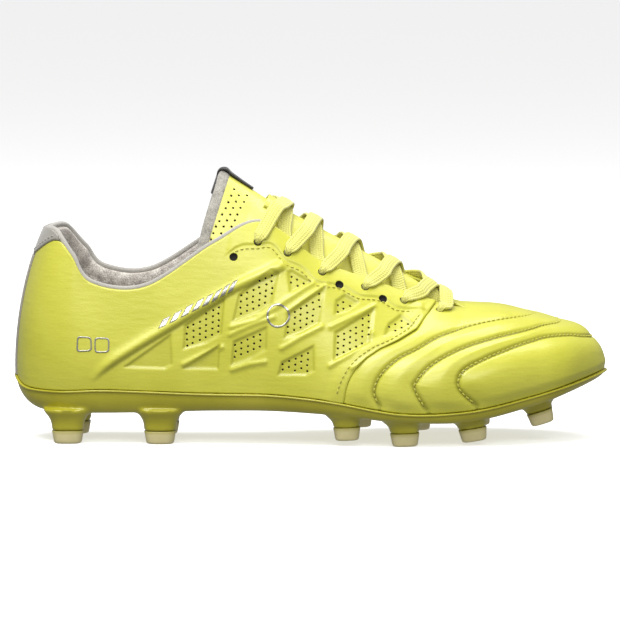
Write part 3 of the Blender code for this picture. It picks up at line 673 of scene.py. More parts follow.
def pins(centre, axis, radius, top, bottom, sides, inside):
    """Round pins at centres, from bottom to top along their axes, as one cutter.

    Its cut faces take the inside material."""
    across = unit(np.cross(axis, [0, 0, 1.]))
    turns = np.linspace(0, 2*math.pi, sides, endpoint=False)[:, None]
    ring = radius*(np.cos(turns)*across[:, None] + np.sin(turns)*np.cross(axis, across)[:, None])
    points = np.stack([centre[:, None] + ring - axis[:, None]*bottom,
                       centre[:, None] + ring + axis[:, None]*top], 1)
    step = np.arange(sides)
    after = (step + 1) % sides
    base = (np.arange(len(centre))*2*sides)[:, None, None]
    walls = (base + np.stack([step, after, after + sides, step + sides], 1)[None]).reshape(-1, 4).tolist()
    ends = (base[:, 0] + step[::-1]).tolist() + (base[:, 0] + sides + step).tolist()
    mesh = bpy.data.meshes.new("pins")
    mesh.from_pydata(points.reshape(-1, 3).tolist(), [], walls + ends)
    for material in (leather_material, inside):
        mesh.materials.append(material)
    mesh.polygons.foreach_set("material_index", np.ones(len(mesh.polygons), int))
    outward_faces(mesh)
    return mesh


def punch(piece, mesh):
    """Cut a mesh out of a piece and clear the cutter away."""
    cutter = bpy.data.objects.new("cutter", mesh)
    bpy.context.scene.collection.objects.link(cutter)
    change = piece.modifiers.new("punch", "BOOLEAN")
    change.operation, change.object, change.solver = "DIFFERENCE", cutter, "MANIFOLD"
    settle(piece)
    bpy.data.objects.remove(cutter)


# sewn channels on the lateral side: station and height share from the sole up to the ridge
CHANNELS = [
    [(9.66, .0), (9.64, .03), (9.5, .115), (9.44, .25), (9.49, .395), (9.65, .5), (9.81, .625), (10.1, .725),
     (10.55, .77), (11.11, .795), (12.0, .88), (12.7, 1.0)],
    [(10.38, .0), (10.32, .03), (10.03, .175), (9.99, .235), (10.05, .36), (10.24, .46), (10.55, .535),
     (11.08, .59), (11.74, .655), (12.43, .735), (13.34, .87), (13.75, 1.0)],
    [(11.12, .0), (11.08, .035), (10.76, .15), (10.65, .235), (10.67, .31), (10.84, .365), (11.2, .435),
     (11.76, .51), (12.42, .565), (13.0, .585), (13.5, .54), (14.0, .50)],
]
GROOVE, GROOVE_WIDTH, PUFF, PUFF_WIDTH = .0012, .0011, .0013, .0055
leather_material = leather("coated_leather")
hole_material = pressed("hole_shadow", (.006, .005, .003), (.014, .012, .008), 900)


def channel_lines():
    """Each channel from the lateral side over the boot to the medial side, as (u, t)."""
    lines = []
    for channel in CHANNELS:
        half = drawn(channel, .01)
        lines.append(np.concatenate([half, np.stack([STATIONS - half[::-1, 0], half[::-1, 1]], 1)]))
    return lines


def vamp_height(u, t, points):
    """Height of the quilted face: puffs that rise away from the channels and grooves in them, and painted
    shade along the grooves.
    """
    gaps = np.min([near(points, skin(line[:, 0], line[:, 1])) for line in channel_lines()], axis=0)
    edge = np.clip(np.minimum(t/.10, from_top(u, t)/.012 + np.clip((station(u) - 9.9)/.4, 0, 1)), 0, 1)
    calm = 1 - .86*np.clip((t - .60)/.32, 0, 1)
    puff = PUFF*(1 - np.exp(-(gaps/PUFF_WIDTH)**2))*edge*edge*(3 - 2*edge)*calm
    groove = np.exp(-(gaps/GROOVE_WIDTH)**2)
    # the second number is painted shade, darkest in the channel grooves
    return puff - GROOVE*calm*groove*np.clip(t/.03, .3, 1), groove*calm


def vamp_piece():
    """The quilted front, from seam to seam over the ridge, with the last pair of eyelets punched."""
    share = np.linspace(0, 1, 400)[:, None]
    rise = np.linspace(0, 1, 120)[None]
    seam = seam_station(rise) - .12
    u = seam + (STATIONS - 2*seam)*share
    t = floor_line(u) + (1 - floor_line(u))*rise
    plain = form(u, t)
    height, groove = vamp_height(u, t, plain)
    lap = np.clip((station(u) - seam)/.12, 0, 1.6)/1.6
    height = height*np.clip((station(u) - seam - .1)/.3, 0, 1) - .0007*(1 - lap*lap*(3 - 2*lap))
    piece = sheet_piece("vamp", skin(u, t, -height), LEATHER, leather_material, groove)
    piece.data.materials.append(hole_material)
    k, t = EYELETS[-1]
    eyes = np.array([k, STATIONS - k])
    punch(piece, pins(skin(eyes, t), form_normal(eyes, t), EYELET_RADIUS, .006, .006, 24, leather_material))
    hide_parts("vamp")


vamp_piece()
STITCH_PITCH = .0026


def stitches(name, line, length, radius, material, height):
    """Short thread loops along a line of (u, t): each a bent rod whose ends dip into the leather."""
    path = skin(line[:, 0], line[:, 1], -height)
    reach = reach_along(path)
    middles = np.arange(STITCH_PITCH/2, reach[-1] - STITCH_PITCH/2, STITCH_PITCH)
    bend = np.linspace(-1, 1, 6)
    places = middles[:, None] + bend*length/2
    u, t = (np.interp(places, reach, line[:, axis]) for axis in (0, 1))
    centre = skin(u, t, -height - radius*(.8 - 1.9*np.abs(bend)**3))
    tangent = unit(np.gradient(centre, axis=1))
    normal = unit(skin(u, t, -.001) - skin(u, t))
    side = unit(np.cross(tangent, normal))
    turns = np.linspace(0, 2*math.pi, 6, endpoint=False)[:, None]
    thick = (radius*(1 - .35*np.abs(bend)**4))[None, :, None, None]
    ring = thick*(np.cos(turns)*side[:, :, None] + np.sin(turns)*np.cross(side, tangent)[:, :, None])
    points = centre[:, :, None] + ring
    count, rings, sides = points.shape[:3]
    index = np.arange(points[..., 0].size).reshape(count, rings, sides)
    after = np.roll(index, -1, 2)
    faces = np.stack([index[:, :-1], after[:, :-1], after[:, 1:], index[:, 1:]], -1).reshape(-1, 4).tolist()
    faces += index[:, 0, ::-1].tolist() + index[:, -1].tolist()
    outward_faces(new_piece(name, points, faces, material).data)


def thread(name, colour):
    """Twisted polyester sewing thread with a soft sheen."""
    made = Finish(name, roughness=0.6, Sheen_Weight=0.3)
    twist = made.noise(3000, 2)
    return made.surface(colour=made.mix(twist, colour, tuple(.72*part for part in colour)),
                        height=twist, relief=.0001)


thread_material = thread("yellow_thread", (.62, .59, .06))
for number, line in enumerate(channel_lines()):
    name = "channel_stitches_%d" % (number + 1)
    stitches(name, line[line[:, 1] > .05], .0019, .00034, thread_material, -.0004)

# ---- quarters ----
# Leather panels from the heel seam to the vamp, one on each side, pressed in a mould with a fold,
# ribs and sunk cells; the cells are perforated and the edge beside the tongue carries the eyelets.
# Points below are (x, z) on the lateral side in millimetres from the origin.
CELLS = [
    [(-89.7, 38.2), (-67.8, 53.7), (-67.1, 39.6), (-70.4, 37.5)],
    [(-61.5, 37.7), (-44.2, 48.9), (-44.8, 37.4)],
    [(-61.4, 47.0), (-60.7, 58.3), (-42.0, 70.9), (-43.4, 54.2), (-51.5, 49.7)],
    [(-37.7, 60.6), (-34.9, 73.0), (-19.3, 85.1), (-15.7, 83.5), (-19.3, 69.2), (-24.3, 65.6)],
    [(-11.2, 83.9), (-9.3, 84.7), (0.3, 79.0), (-10.1, 74.4)],
    [(-38.4, 39.5), (-37.4, 50.7), (-21.4, 58.0), (-21.7, 47.2), (-28.5, 43.3)],
    [(-12.8, 52.8), (-11.1, 64.9), (6.4, 76.6), (3.8, 60.1), (-4.5, 55.6)],
    [(11.5, 64.0), (12.0, 70.2), (16.3, 73.0), (22.6, 69.3), (17.3, 65.5)],
    [(10.8, 42.7), (11.5, 55.6), (30.4, 66.4), (27.9, 50.6), (19.3, 46.4)],
    [(35.2, 53.9), (37.2, 59.1), (43.3, 63.1), (48.7, 58.3), (42.3, 55.0)],
    [(-15.9, 35.1), (-14.3, 41.1), (1.1, 49.2), (1.3, 37.6), (-2.5, 35.4)],
]
# one hole of each cell's lattice; the first two cells are not perforated
FIRST_HOLES = [None, None, (-59.6, 57.2), (-33.9, 72.8), (-9.4, 82.0), (-36.6, 49.0), (-10.9, 64.1),
               (12.9, 68.3), (12.8, 53.9), (37.7, 57.8), (-13.7, 40.3)]
HOLE_ALONG, HOLE_DOWN, HOLE_RADIUS, HOLE_DEEP = (3.0, 1.35), (-.1, -2.9), .00052, .0014
FOLD = [(-106, 33), (-97, 40.4), (-82.4, 49.6), (-67.3, 58.5), (-51.6, 68), (-34.9, 77.6), (-15.1, 86.4)]
FOLD_RISE, RIB_RISE, CELL_SINK = .0016, .0009, .0009
RIBS = [
    [(-38.6, 57.6), (-26.4, 61.0), (-13.0, 70.3), (.5, 78.6)], [(-39.1, 54.2), (-28.5, 59.0), (-18.2, 62.7)],
    [(-14.4, 47.8), (-4.7, 53.5), (4.8, 58.2)], [(9.4, 58.1), (19.2, 62.4), (30.3, 67.1)],
    [(9.0, 39.8), (18.4, 45.0), (28.8, 54.9)],
    [(19.8, 38.8), (33.9, 46.9), (51.6, 56.5), (54.1, 61.6), (52.7, 66.4)],
    [(-61.5, 39.7), (-52.6, 44.1), (-43.2, 47.9)], [(-38.0, 37.3), (-29.6, 40.1), (-22.3, 41.3)],
    [(-10.9, 65.3), (-3.7, 70.7), (7.0, 77.0)],
]


def inside_gap(points, corners):
    """Signed distance to a closed outline, positive inside."""
    corners = np.asarray(corners, float)
    best, crossings = None, 0
    for start, end in zip(corners, np.roll(corners, -1, 0)):
        run = end - start
        share = np.clip(((points - start)*run).sum(-1)/(run*run).sum(), 0, 1)[..., None]
        gap = np.linalg.norm(points - start - share*run, axis=-1)
        best = gap if best is None else np.minimum(best, gap)
        above = (start[1] > points[..., 1]) != (end[1] > points[..., 1])
        rise = run[1] if abs(run[1]) > 1e-12 else 1e-12
        crossings = crossings + (above & (points[..., 0] < start[0] + (points[..., 1] - start[1])/rise*run[0]))
    return np.where(crossings % 2 == 1, best, -best)


def soft_step(value, start, end):
    """0 before the start and 1 after the end, by 3s^2 - 2s^3 between."""
    share = np.clip((value - start)/(end - start), 0, 1)
    return share*share*(3 - 2*share)


def side_chart(u, t):
    """(x, z) in millimetres of the same place on the lateral side."""
    return form(station(u), t)[..., [0, 2]]*1000


def scallop(k):
    """Distance from the top edge to the eyestay's scalloped lower edge: it dips round each eyelet."""
    places = np.array([4.9] + [pair[0] for pair in EYELETS] + [10.2])
    phase = np.interp(k, places, np.arange(len(places)))
    return .0112 + .0012*np.cos(2*math.pi*phase)


def quarter_top(u):
    """Top of the leather: the top edge, dropping under the heel tab at the back."""
    return 1 - .2*(1 - soft_step(station(u), 0, 1.7))


def quarter_height(u, t):
    """Moulded height: the fold stands out, cells sink, ribs rise, the eyestay is a second layer.
    Also painted shade: in the sunk cells, on their rims and in the groove under the fold.
    """
    chart, k = side_chart(u, t), station(u)
    sunk = sum(soft_step(inside_gap(chart, cell), -.9, .9) for cell in CELLS)
    ribs = np.max([np.exp(-(near(chart, spaced(np.array(rib), .5))/1.25)**2) for rib in RIBS], axis=0)
    line = drawn(FOLD, .5)
    fold = near(chart, line)
    under = soft_step(np.interp(chart[..., 0], line[:, 0], line[:, 1]) - chart[..., 1], 0, 2.5)
    fade = soft_step(chart[..., 0], -108, -95)*soft_step(-chart[..., 0], -56, -50)
    groove = under*np.exp(-((fold - 2.3)/1.2)**2)
    height = fade*(FOLD_RISE*np.exp(-(fold/2.4)**2) - .0006*groove + RIB_RISE*ribs*(1 - sunk) - CELL_SINK*sunk)
    stay = soft_step(scallop(k) - from_top(u, t), 0, .0007)*soft_step(k, 5.2, 5.4)
    lip = soft_step(k, seam_station(t) - .5, seam_station(t) - .2)
    rim = 4*sunk*(1 - sunk)
    # the second number is painted shade: light in the sunk cells, more on their rims, most in the groove under
    # the fold
    return height + .0006*stay + .0007*lip, np.clip(fade*(.20*sunk + .35*rim + .8*groove), 0, 1)


def holes():
    """Perforations as (k, t): a slanting lattice of holes kept where it falls inside a cell."""
    i, j = (grid.ravel() for grid in np.meshgrid(np.arange(-2, 9), np.arange(-3, 9)))
    spots = []
    for cell, first in zip(CELLS, FIRST_HOLES):
        if first is not None:
            lattice = np.array(first) + np.outer(i, HOLE_ALONG) + np.outer(j, HOLE_DOWN)
            spots.append(lattice[inside_gap(lattice, cell) > .75])
    spots = np.concatenate(spots)
    k, t = np.meshgrid(np.linspace(3.5, 9.4, 240), np.linspace(.05, .95, 200), indexing="ij")
    chart = side_chart(k, t).reshape(-1, 2)
    nearest = np.array([np.argmin(((chart - spot)**2).sum(1)) for spot in spots])
    return np.stack([k.ravel()[nearest], t.ravel()[nearest]], 1)


def quarter_piece(side, name):
    """One quarter with its edge rolled down and its eyelets and perforations punched."""
    share = np.linspace(0, 1, 330)[:, None]
    rise = np.linspace(0, 1, 132)[None]
    k = .28 + (seam_station(rise) - .28)*share
    u = on_side(k, side)
    t = floor_line(u) + (quarter_top(u) - floor_line(u))*rise
    height, groove = quarter_height(u, t)
    edge = np.minimum(from_top(u, t), (seam_station(rise) - k)*.018)
    roll = .0008*(1 - np.sqrt(1 - (1 - np.clip(edge/.0009, 0, 1))**2))
    points = skin(u, t, roll - height)
    piece = sheet_piece("quarter_" + name, points, LEATHER, leather_material, groove, flip=side > 0)
    piece.data.materials.append(hole_material)
    for places, radius, sides, bottom in ((np.array(EYELETS[:-1]), EYELET_RADIUS, 24, .006),
                                          (np.array(SPARE_EYELETS), EYELET_RADIUS, 24, .0006),
                                          (holes(), HOLE_RADIUS, 12, HOLE_DEEP)):
        u, t = on_side(places[:, 0], side), places[:, 1]
        punch(piece, pins(skin(u, t), form_normal(u, t), radius, .004, bottom, sides, hole_material))
    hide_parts("quarter_" + name)


for side, name in ((-1, "lateral"), (1, "medial")):
    quarter_piece(side, name)
    k = np.linspace(5.45, 9.05, 300)
    heights = np.linspace(.5, 1, 240)
    depths = from_top(k[:, None], heights[None])
    t = [np.interp(scallop(place) + .0020, row[::-1], heights[::-1]) for place, row in zip(k, depths)]
    line = np.stack([on_side(k, side), t], 1)
    stitches("eyestay_stitches_" + name, line, .0017, .00030, thread_material, .0001)
    t = np.linspace(.06, .84, 300)
    u = on_side(seam_station(t) - .16, side)
    stitches("seam_stitches_" + name, np.stack([u, t], 1), .0018, .00030, thread_material, .0008)

# ---- collar and heel lining ----
# Mottled grey felt over soft foam: a padded roll round the foot opening that thins into the flat
# lining of the heel. The pad's swell comes from a cloth simulation under air pressure.


def felt(name, dark=(.24, .21, .18), mid=(.46, .42, .37), light=(.74, .70, .63)):
    """Needled felt: grey fibres in patches, a matt fuzzy skin with short fibre relief."""
    made = Finish(name, roughness=0.95, Sheen_Weight=0.35, Sheen_Roughness=0.6)
    patches, fibres = made.noise(240, 5), made.noise(1800, 3)
    colour = made.ramp(patches*.45 + fibres*.55, (.36, dark), (.5, mid), (.62, light))
    return made.surface(colour=colour, height=fibres + patches*.6, relief=.00035)


def lining_depth(u, t):
    """How deep the lining's outer face lies: it bows in over the counter and the collar foam."""
    k = station(u)
    pad = np.clip((t - .60)/.08, 0, 1)*np.clip((1.04 - t)/.10, 0, 1)
    stiff = LEATHER + STIFFENER + 2*GAP
    return stiff + (COLLAR_PAD - STIFFENER)*pad*np.clip((COLLAR_END + .2 - k)/.2, 0, 1)


def swell(piece, pressure, cap):
    """Blow a closed piece up as cloth under air pressure, no point further than the cap."""
    before = np.empty(len(piece.data.vertices)*3)
    piece.data.vertices.foreach_get("co", before)
    cloth = piece.modifiers.new("cloth", "CLOTH")
    cloth.settings.use_pressure = True
    cloth.settings.uniform_pressure_force = pressure
    cloth.settings.effector_weights.gravity = 0
    cloth.settings.quality = 3
    cloth.point_cache.frame_start, cloth.point_cache.frame_end = 1, 20
    for frame_number in range(1, 21):
        bpy.context.scene.frame_set(frame_number)
    settle(piece)
    after = np.empty_like(before)
    piece.data.vertices.foreach_get("co", after)
    travel = (after - before).reshape(-1, 3)
    size = np.linalg.norm(travel, axis=1, keepdims=True)
    travel *= np.minimum(1, cap/np.maximum(size, 1e-9))
    piece.data.vertices.foreach_set("co", (before.reshape(-1, 3) + travel).ravel())
    bpy.context.scene.frame_set(1)
    smooth = piece.modifiers.new("smooth", "SUBSURF")
    smooth.levels = smooth.render_levels = 1
    settle(piece)


def closed_patch(name, u, t, outer, inner, material, body="root", surface=skin):
    """A closed pad between two depths of the upper."""
    rows, columns = np.broadcast_arrays(u, t)
    top, low = surface(rows, columns, outer), surface(rows, columns, inner)
    points = np.concatenate([top.reshape(-1, 3), low.reshape(-1, 3)])
    index = np.arange(rows.size).reshape(rows.shape)
    faces = grid_faces(*rows.shape).tolist() + (grid_faces(*rows.shape, flip=True) + rows.size).tolist()
    rim = np.concatenate([index[0, :-1], index[:-1, -1], index[-1, :0:-1], index[:0:-1, 0]])
    faces += np.stack([rim, rim + rows.size, np.roll(rim, -1) + rows.size, np.roll(rim, -1)], 1).tolist()
    piece = new_piece(name, points, faces, material, body)
    weld(piece)
    outward_faces(piece.data)
    return piece


felt_material = felt("grey_felt")
pad_u = np.linspace(-COLLAR_END - .3, COLLAR_END + .3, 240)[:, None]
pad_t = np.linspace(.60, .998, 30)[None]
rise = (pad_t - .60)/.398
taper = np.clip(rise/.3, 0, 1)**.5*(1 - .5*np.clip((rise - .75)/.25, 0, 1)**2)
taper = taper*np.clip((COLLAR_END + .3 - np.abs(pad_u))/.5, 0, 1)**.5
collar_pad = closed_patch("collar_pad", pad_u, pad_t, LEATHER + .0009, LEATHER + .0014 + .0040*taper,
                          felt_material)
swell(collar_pad, 3.0, .0010)
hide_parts("collar_foam")

lining_u = np.linspace(-COLLAR_END, COLLAR_END, 200)[:, None]
lining_t = np.linspace(.03, .80, 44)[None]
lining_face = skin(lining_u, lining_t, lining_depth(lining_u, lining_t))
heel_lining = sheet_piece("heel_lining", lining_face, LINING, felt_material)
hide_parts("heel_lining")

# ---- heel counter, toe puff and eyestay stiffeners ----
# Thermoplastic sheet and woven tape between leather and lining; only their edges could ever show.
stiff_material = pressed("stiffener_sheet", (.44, .41, .34), (.60, .57, .50), 1200)
for name in ("heel_counter", "toe_puff", "eyestay_lateral", "eyestay_medial"):
    finish_node(name, stiff_material)
finish_node("heel_wedge", foam_material)

# ---- linings of vamp and quarters ----
# Thin warp-knit polyester, seen only down through the throat.


def knit(name, colour):
    """Fine warp knit: small rows of loops across soft tone changes."""
    made = Finish(name, roughness=0.9, Sheen_Weight=0.2)
    loops = made.noise(2600, 2, stretch=(1, 1, .4))
    return made.surface(colour=made.mix(loops, tuple(.6*part for part in colour), colour), height=loops,
                        relief=.00025)


knit_material = knit("dark_knit", (.075, .07, .06))
for name, stations, heights, depth, cut_size in (
        ("vamp_lining", (9.95, 18.05), (.03, 1.0), None, (.112, .084)),
        ("quarter_lining_lateral", (COLLAR_END + .02, 9.9), (.03, .80), LEATHER + 1.6*GAP, (.102, .053)),
        ("quarter_lining_medial", (STATIONS - 9.9, STATIONS - COLLAR_END - .02), (.03, .80), LEATHER + 1.6*GAP,
         (.104, .057))):
    u = np.linspace(*stations, 110)[:, None]
    t = np.linspace(*heights, 40)[None]
    puff_room = (STIFFENER + GAP)*np.clip((station(u) - 11.6)/.5, 0, 1)
    depths = LEATHER + GAP + puff_room if depth is None else depth
    piece = sheet_piece(name, skin(u, t, depths), LINING, knit_material)
    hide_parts(name)

# ---- sockliner ----
# Die-cut foam footbed with a felt top and a low moulded rim; it lifts out about its toe end.
SOCK, SOCK_RISE = 0.0030, 0.0030


def bed_face(u, s, inset, height, rim_rise):
    """A footbed sheet: an edge inside the feather line, in to the middle line."""
    u, s = np.broadcast_arrays(np.asarray(u, float), np.asarray(s, float))
    edge = around(FEATHER, u) - inset*outward(u)
    face = edge + (bed_middle(u) - edge)*s[..., None]
    face[..., 2] += height + rim_rise*np.clip(1 - s/.3, 0, 1)**2
    return face


bed_u = np.linspace(0, STATIONS, 281)[:, None]
bed_s = np.linspace(0, 1, 24)[None]**1.2
footbed_felt = felt("footbed_felt", (.20, .18, .15), (.38, .35, .30), (.60, .57, .50))
sockliner = sheet_piece("sockliner", bed_face(bed_u, bed_s, .0082, SOCK + GAP, SOCK_RISE), SOCK,
                        footbed_felt, body="sockliner")
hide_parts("sockliner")

# ---- heel tab and back seam ----
# Grey microsuede: a tab folded over the top of the heel, and a strip that covers the back seam.


def suede(name, colour):
    """Brushed microsuede: short nap with streaks of lighter fibre."""
    made = Finish(name, roughness=0.85, Sheen_Weight=0.5, Sheen_Roughness=0.5)
    nap, streak = made.noise(1600, 4), made.noise(120, 4)
    light = tuple(min(1, 1.25*part) for part in colour)
    return made.surface(colour=made.mix(nap*.6 + streak*.4, tuple(.62*part for part in colour), light),
                        height=nap + streak*.5, relief=.00022)


tab_material = suede("grey_suede", (.33, .31, .27))
ROLL = .0010


def rolled(name, u, t, rise, thickness, edges):
    """A suede patch whose edges roll down round a radius; edges says which sides of the grid do."""
    u, t = np.broadcast_arrays(u, t)
    plain = form(u, t)
    gap = np.ones(u.shape)
    for side in edges:
        border = {"start": plain[:1], "end": plain[-1:], "low": plain[:, :1], "high": plain[:, -1:]}[side]
        gap = np.minimum(gap, np.linalg.norm(plain - border, axis=-1))
    roll = ROLL*(1 - np.sqrt(1 - (1 - np.clip(gap/ROLL, 0, 1))**2))
    return sheet_piece(name, skin(u, t, roll - rise), thickness, tab_material)


tab_u = np.linspace(-1.35, 1.35, 110)[:, None]
tab_t = quarter_top(tab_u) + .004 + (.996 - quarter_top(tab_u))*np.linspace(0, 1, 40)[None]
heel_tab = rolled("heel_tab", tab_u, tab_t, .0008, LEATHER + .0008, ("start", "end", "low"))
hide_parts("heel_tab")
strip_t = np.linspace(.002, .80, 90)[None]
strip_u = np.linspace(-1, 1, 18)[:, None]*(.30 - .04*strip_t)
backstay = rolled("backstay", strip_u, strip_t, .0009, LEATHER, ("start", "end"))
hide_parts("backstay")
grey_thread = thread("grey_thread", (.50, .48, .42))
strip = np.linspace(.05, .78, 200)
for name, u in (("lateral", -.24), ("medial", .24)):
    line = np.stack([np.full(200, u), strip], 1)
    stitches("backstay_stitches_" + name, line, .0017, .00028, grey_thread, .0006)
tab_low = np.linspace(-1.22, 1.22, 300)
tab_line = np.stack([tab_low, quarter_top(tab_low) + .034], 1)
stitches("tab_stitches", tab_line, .0017, .00028, grey_thread, .0008)

# ---- topline piping ----
# A folded strip of pale grey suede over cord, sewn along the edge of the foot opening.
piping_u = np.linspace(-6.1, 6.1, 360)
piping_path = skin(piping_u, 1, .0022) + np.array([0, 0, .0006])
piping_run = unit(np.gradient(piping_path, axis=0))
piping_out = unit(np.cross(piping_run, [0, 0, 1.]))
ends = np.clip((6.1 - np.abs(piping_u))/.12, .05, 1)[:, None, None]
topline = carried("topline_piping", piping_path, (piping_out, np.cross(piping_out, piping_run)),
                  ends**.5*circle(.0013, 14, 1.05), suede("pale_suede", (.44, .42, .38)))
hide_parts("topline_piping")

# ---- tongue ----
# Perforated coated leather on a soft foam backing, bound with grey suede along its edge. It swings
# forward about its sewn root when the laces are open.
TONGUE_LEATHER, TONGUE_PAD, TONGUE_DEPTH, TONGUE_SINK = 0.0010, 0.0020, 0.0062, 0.0014
TONGUE_LINE = [(.0900, .0035, .1400), (.1080, .0030, .1285), (.1270, .0010, .1165), (.1510, -.0015, .1035),
               (.1780, -.0035, .0890), (.2020, -.0050, .0752), (.2200, -.0060, .0610)]
BRIDGE = .5                    # the arch spans b from -BRIDGE to BRIDGE


def tongue_form(k, b):
    """Tongue face at station k, b from -1 (lateral edge) to 1 (medial edge).

    Under each eyestay it follows the upper at a depth; between them it arches to its middle line."""
    k, b = np.broadcast_arrays(np.asarray(k, float), np.asarray(b, float))
    depth = TONGUE_DEPTH + TONGUE_SINK*np.clip((6.2 - k)/.6, 0, 1)
    root = np.clip((k - 9.1)/.9, 0, 1.1)
    edge = 1 - .2*root*root
    ends = [skin(u, edge, depth) for u in (k, STATIONS - k)]
    slopes = [unit(skin(u, edge, depth) - skin(u, edge - .04, depth)) for u in (k, STATIONS - k)]
    span = np.linalg.norm(ends[1] - ends[0], axis=-1, keepdims=True)
    s = np.clip(b + BRIDGE, 0, 1)[..., None]
    arch = ((2*s**3 - 3*s**2 + 1)*ends[0] + (s**3 - 2*s**2 + s)*slopes[0]*span
            + (3*s**2 - 2*s**3)*ends[1] + (s**3 - s**2)*-slopes[1]*span)
    middle = .5*(ends[0] + ends[1]) + span*(slopes[0] + slopes[1])/8
    peak = along(frame_points(TONGUE_LINE), k, 4, False)
    arch = arch + (16*s**2*(1 - s)**2)*(peak - middle)
    share = np.clip((np.abs(b) - BRIDGE)/(1 - BRIDGE), 0, 1)
    flank = np.where((b < 0)[..., None], skin(k, edge - .17*share, depth),
                     skin(STATIONS - k, edge - .17*share, depth))
    return np.where((np.abs(b) <= BRIDGE)[..., None], arch, flank)


def tongue_skin(k, b, depth=0.0):
    """A point of the tongue, depth metres under its outer face."""
    step = 1e-2
    run = tongue_form(k - step, b) - tongue_form(k + step, b)
    cross = tongue_form(k, np.asarray(b) + step) - tongue_form(k, np.asarray(b) - step)
    return tongue_form(k, b) - np.asarray(depth)[..., None]*unit(np.cross(cross, run))


tongue_leather = leather("tongue_leather", (.69, .67, .12), (.64, .62, .095), (.73, .71, .15))
tongue_k = np.linspace(TONGUE_ROOT, TONGUE_TOP, 200)[:, None]
tongue_b = np.linspace(-1, 1, 150)[None]
tongue = sheet_piece("tongue", tongue_skin(tongue_k, tongue_b), TONGUE_LEATHER, tongue_leather,
                     np.zeros((200, 150)), flip=True, body="tongue")
tongue.data.materials.append(hole_material)
# rows of three holes down each side of the tongue, two in the last rows and one more on top; mm, (x, z)
HOLE_START, HOLE_ACROSS, HOLE_DROP = np.array([-38.6, 118.8]), (3.7, 0), (-1.46, -2.93)
hole_rows = [(row, column) for row in range(8) for column in range(3) if row < 6 or column < 2]
hole_rows = np.array(hole_rows + [(-1, 0)])
spots = HOLE_START + hole_rows[:, :1]*HOLE_DROP + hole_rows[:, 1:]*HOLE_ACROSS
spots = np.concatenate([spots, spots + [2, 0]])
side_k, side_b = (grid.ravel() for grid in np.meshgrid(np.linspace(4.8, 7.0, 120), np.linspace(-1, 0, 120)))
side_view = tongue_skin(side_k, side_b)[:, [0, 2]]*1000
found = np.argmin(((side_view - spots[:, None])**2).sum(-1), axis=1)
hole_k, hole_b = side_k[found], side_b[found]*np.repeat([1, -1], len(hole_rows))
centres = tongue_skin(hole_k, hole_b)
normals = unit(centres - tongue_skin(hole_k, hole_b, .001))
punch(tongue, pins(centres, normals, .00055, .003, .0007, 12, hole_material))
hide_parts("tongue")
pad_k = np.linspace(TONGUE_ROOT - .1, TONGUE_TOP + .03, 56)[:, None]
pad_b = np.linspace(-.96, .96, 40)[None]
tongue_lining = closed_patch("tongue_lining", pad_k, pad_b, TONGUE_LEATHER + .0003,
                             TONGUE_LEATHER + GAP + TONGUE_PAD*.85, felt_material, "tongue",
                             tongue_skin)
swell(tongue_lining, 3.0, .0004)
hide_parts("tongue_lining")


def binding_points(k, b):
    """Points just past the tongue's edge, in the middle of its thickness, and the way up there."""
    middle = .5*(TONGUE_LEATHER + GAP + TONGUE_PAD)
    here = tongue_skin(k, b, middle)
    past_side = unit(here - tongue_skin(k, .9*b, middle)) * (np.abs(b) > .91)[:, None]
    past_top = unit(here - tongue_skin(k + .2, b, middle)) * (k < TONGUE_TOP + .01)[:, None]
    return here + .0002*unit(past_side + past_top), unit(here - tongue_skin(k, b, middle + .001))


share = np.linspace(0, 1, 24)
binding_k = np.concatenate([9.4 - 4.6*share, np.full(30, TONGUE_TOP), TONGUE_TOP + 4.6*share])
binding_b = np.concatenate([np.full(24, -1.0), np.linspace(-.92, .92, 30), np.full(24, 1.0)])
binding_controls = np.concatenate(binding_points(binding_k, binding_b), 1)
binding = along(binding_controls, np.linspace(0, len(binding_controls) - 1, 420), 0, False)
binding_path, binding_up = binding[:, :3], unit(binding[:, 3:])
binding_run = unit(np.gradient(binding_path, axis=0))
binding_side = unit(np.cross(binding_run, binding_up))
turns = np.linspace(0, 2*math.pi, 20, endpoint=False)
wrap = np.stack([.0028*squared(turns, .6)[0], .0023*squared(turns, .7)[1]], 1)
binding_felt = felt("binding_felt", (.20, .18, .15), (.36, .34, .29), (.50, .47, .41))
binding_frames = (binding_side, np.cross(binding_side, binding_run))
tongue_binding = carried("tongue_binding", binding_path, binding_frames, wrap, binding_felt,
                         body="tongue")
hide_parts("tongue_binding")

# ---- label and lace keeper ----
# A black woven label folded over the tongue's top edge, and a narrow strap that the lace runs under.


def woven(name, dark, light):
    """Tight satin weave: fine crosswise ribs with a dull shine."""
    made = Finish(name, roughness=0.55, Sheen_Weight=0.3)
    x = made.node("ShaderNodeSeparateXYZ", {}, made.place(), output=0)
    ribs = made.node("ShaderNodeMath", {"operation": "SINE"}, x*9000.0)*.5 + .5
    colour = made.mix(ribs*.6 + made.noise(900, 3)*.4, dark, light)
    return made.surface(colour=colour, height=ribs, relief=.00008)


# station and depth, from the label's front end over the tongue's top edge to its back end
LABEL_FOLD = [(5.50, -.0003), (5.2, -.0004), (4.9, -.0008), (4.76, -.0014), (4.66, .0002), (4.66, .0026),
              (4.74, .0044), (4.9, .0047), (5.1, .0047)]
fold = along(np.array(LABEL_FOLD), np.linspace(0, len(LABEL_FOLD) - 1, 60), 0, False)
label_b = np.linspace(-.04, .22, 24)[None]
label = sheet_piece("tongue_label", tongue_skin(fold[:, :1], label_b, fold[:, 1:] - .0003), .0007,
                    woven("black_weave", (.008, .007, .006), (.035, .032, .028)), body="tongue")
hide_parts("tongue_label")
keeper_k = np.linspace(5.86, 6.16, 20)[:, None]
keeper_b = np.linspace(-.22, .22, 44)[None]
keeper_lift = .0022*np.clip(1 - (keeper_b/.22)**4, 0, 1)**.5
sheet_piece("lace_keeper", tongue_skin(keeper_k, keeper_b, -.0004 - keeper_lift), .0007,
            tongue_leather, np.zeros((20, 44)), body="tongue")

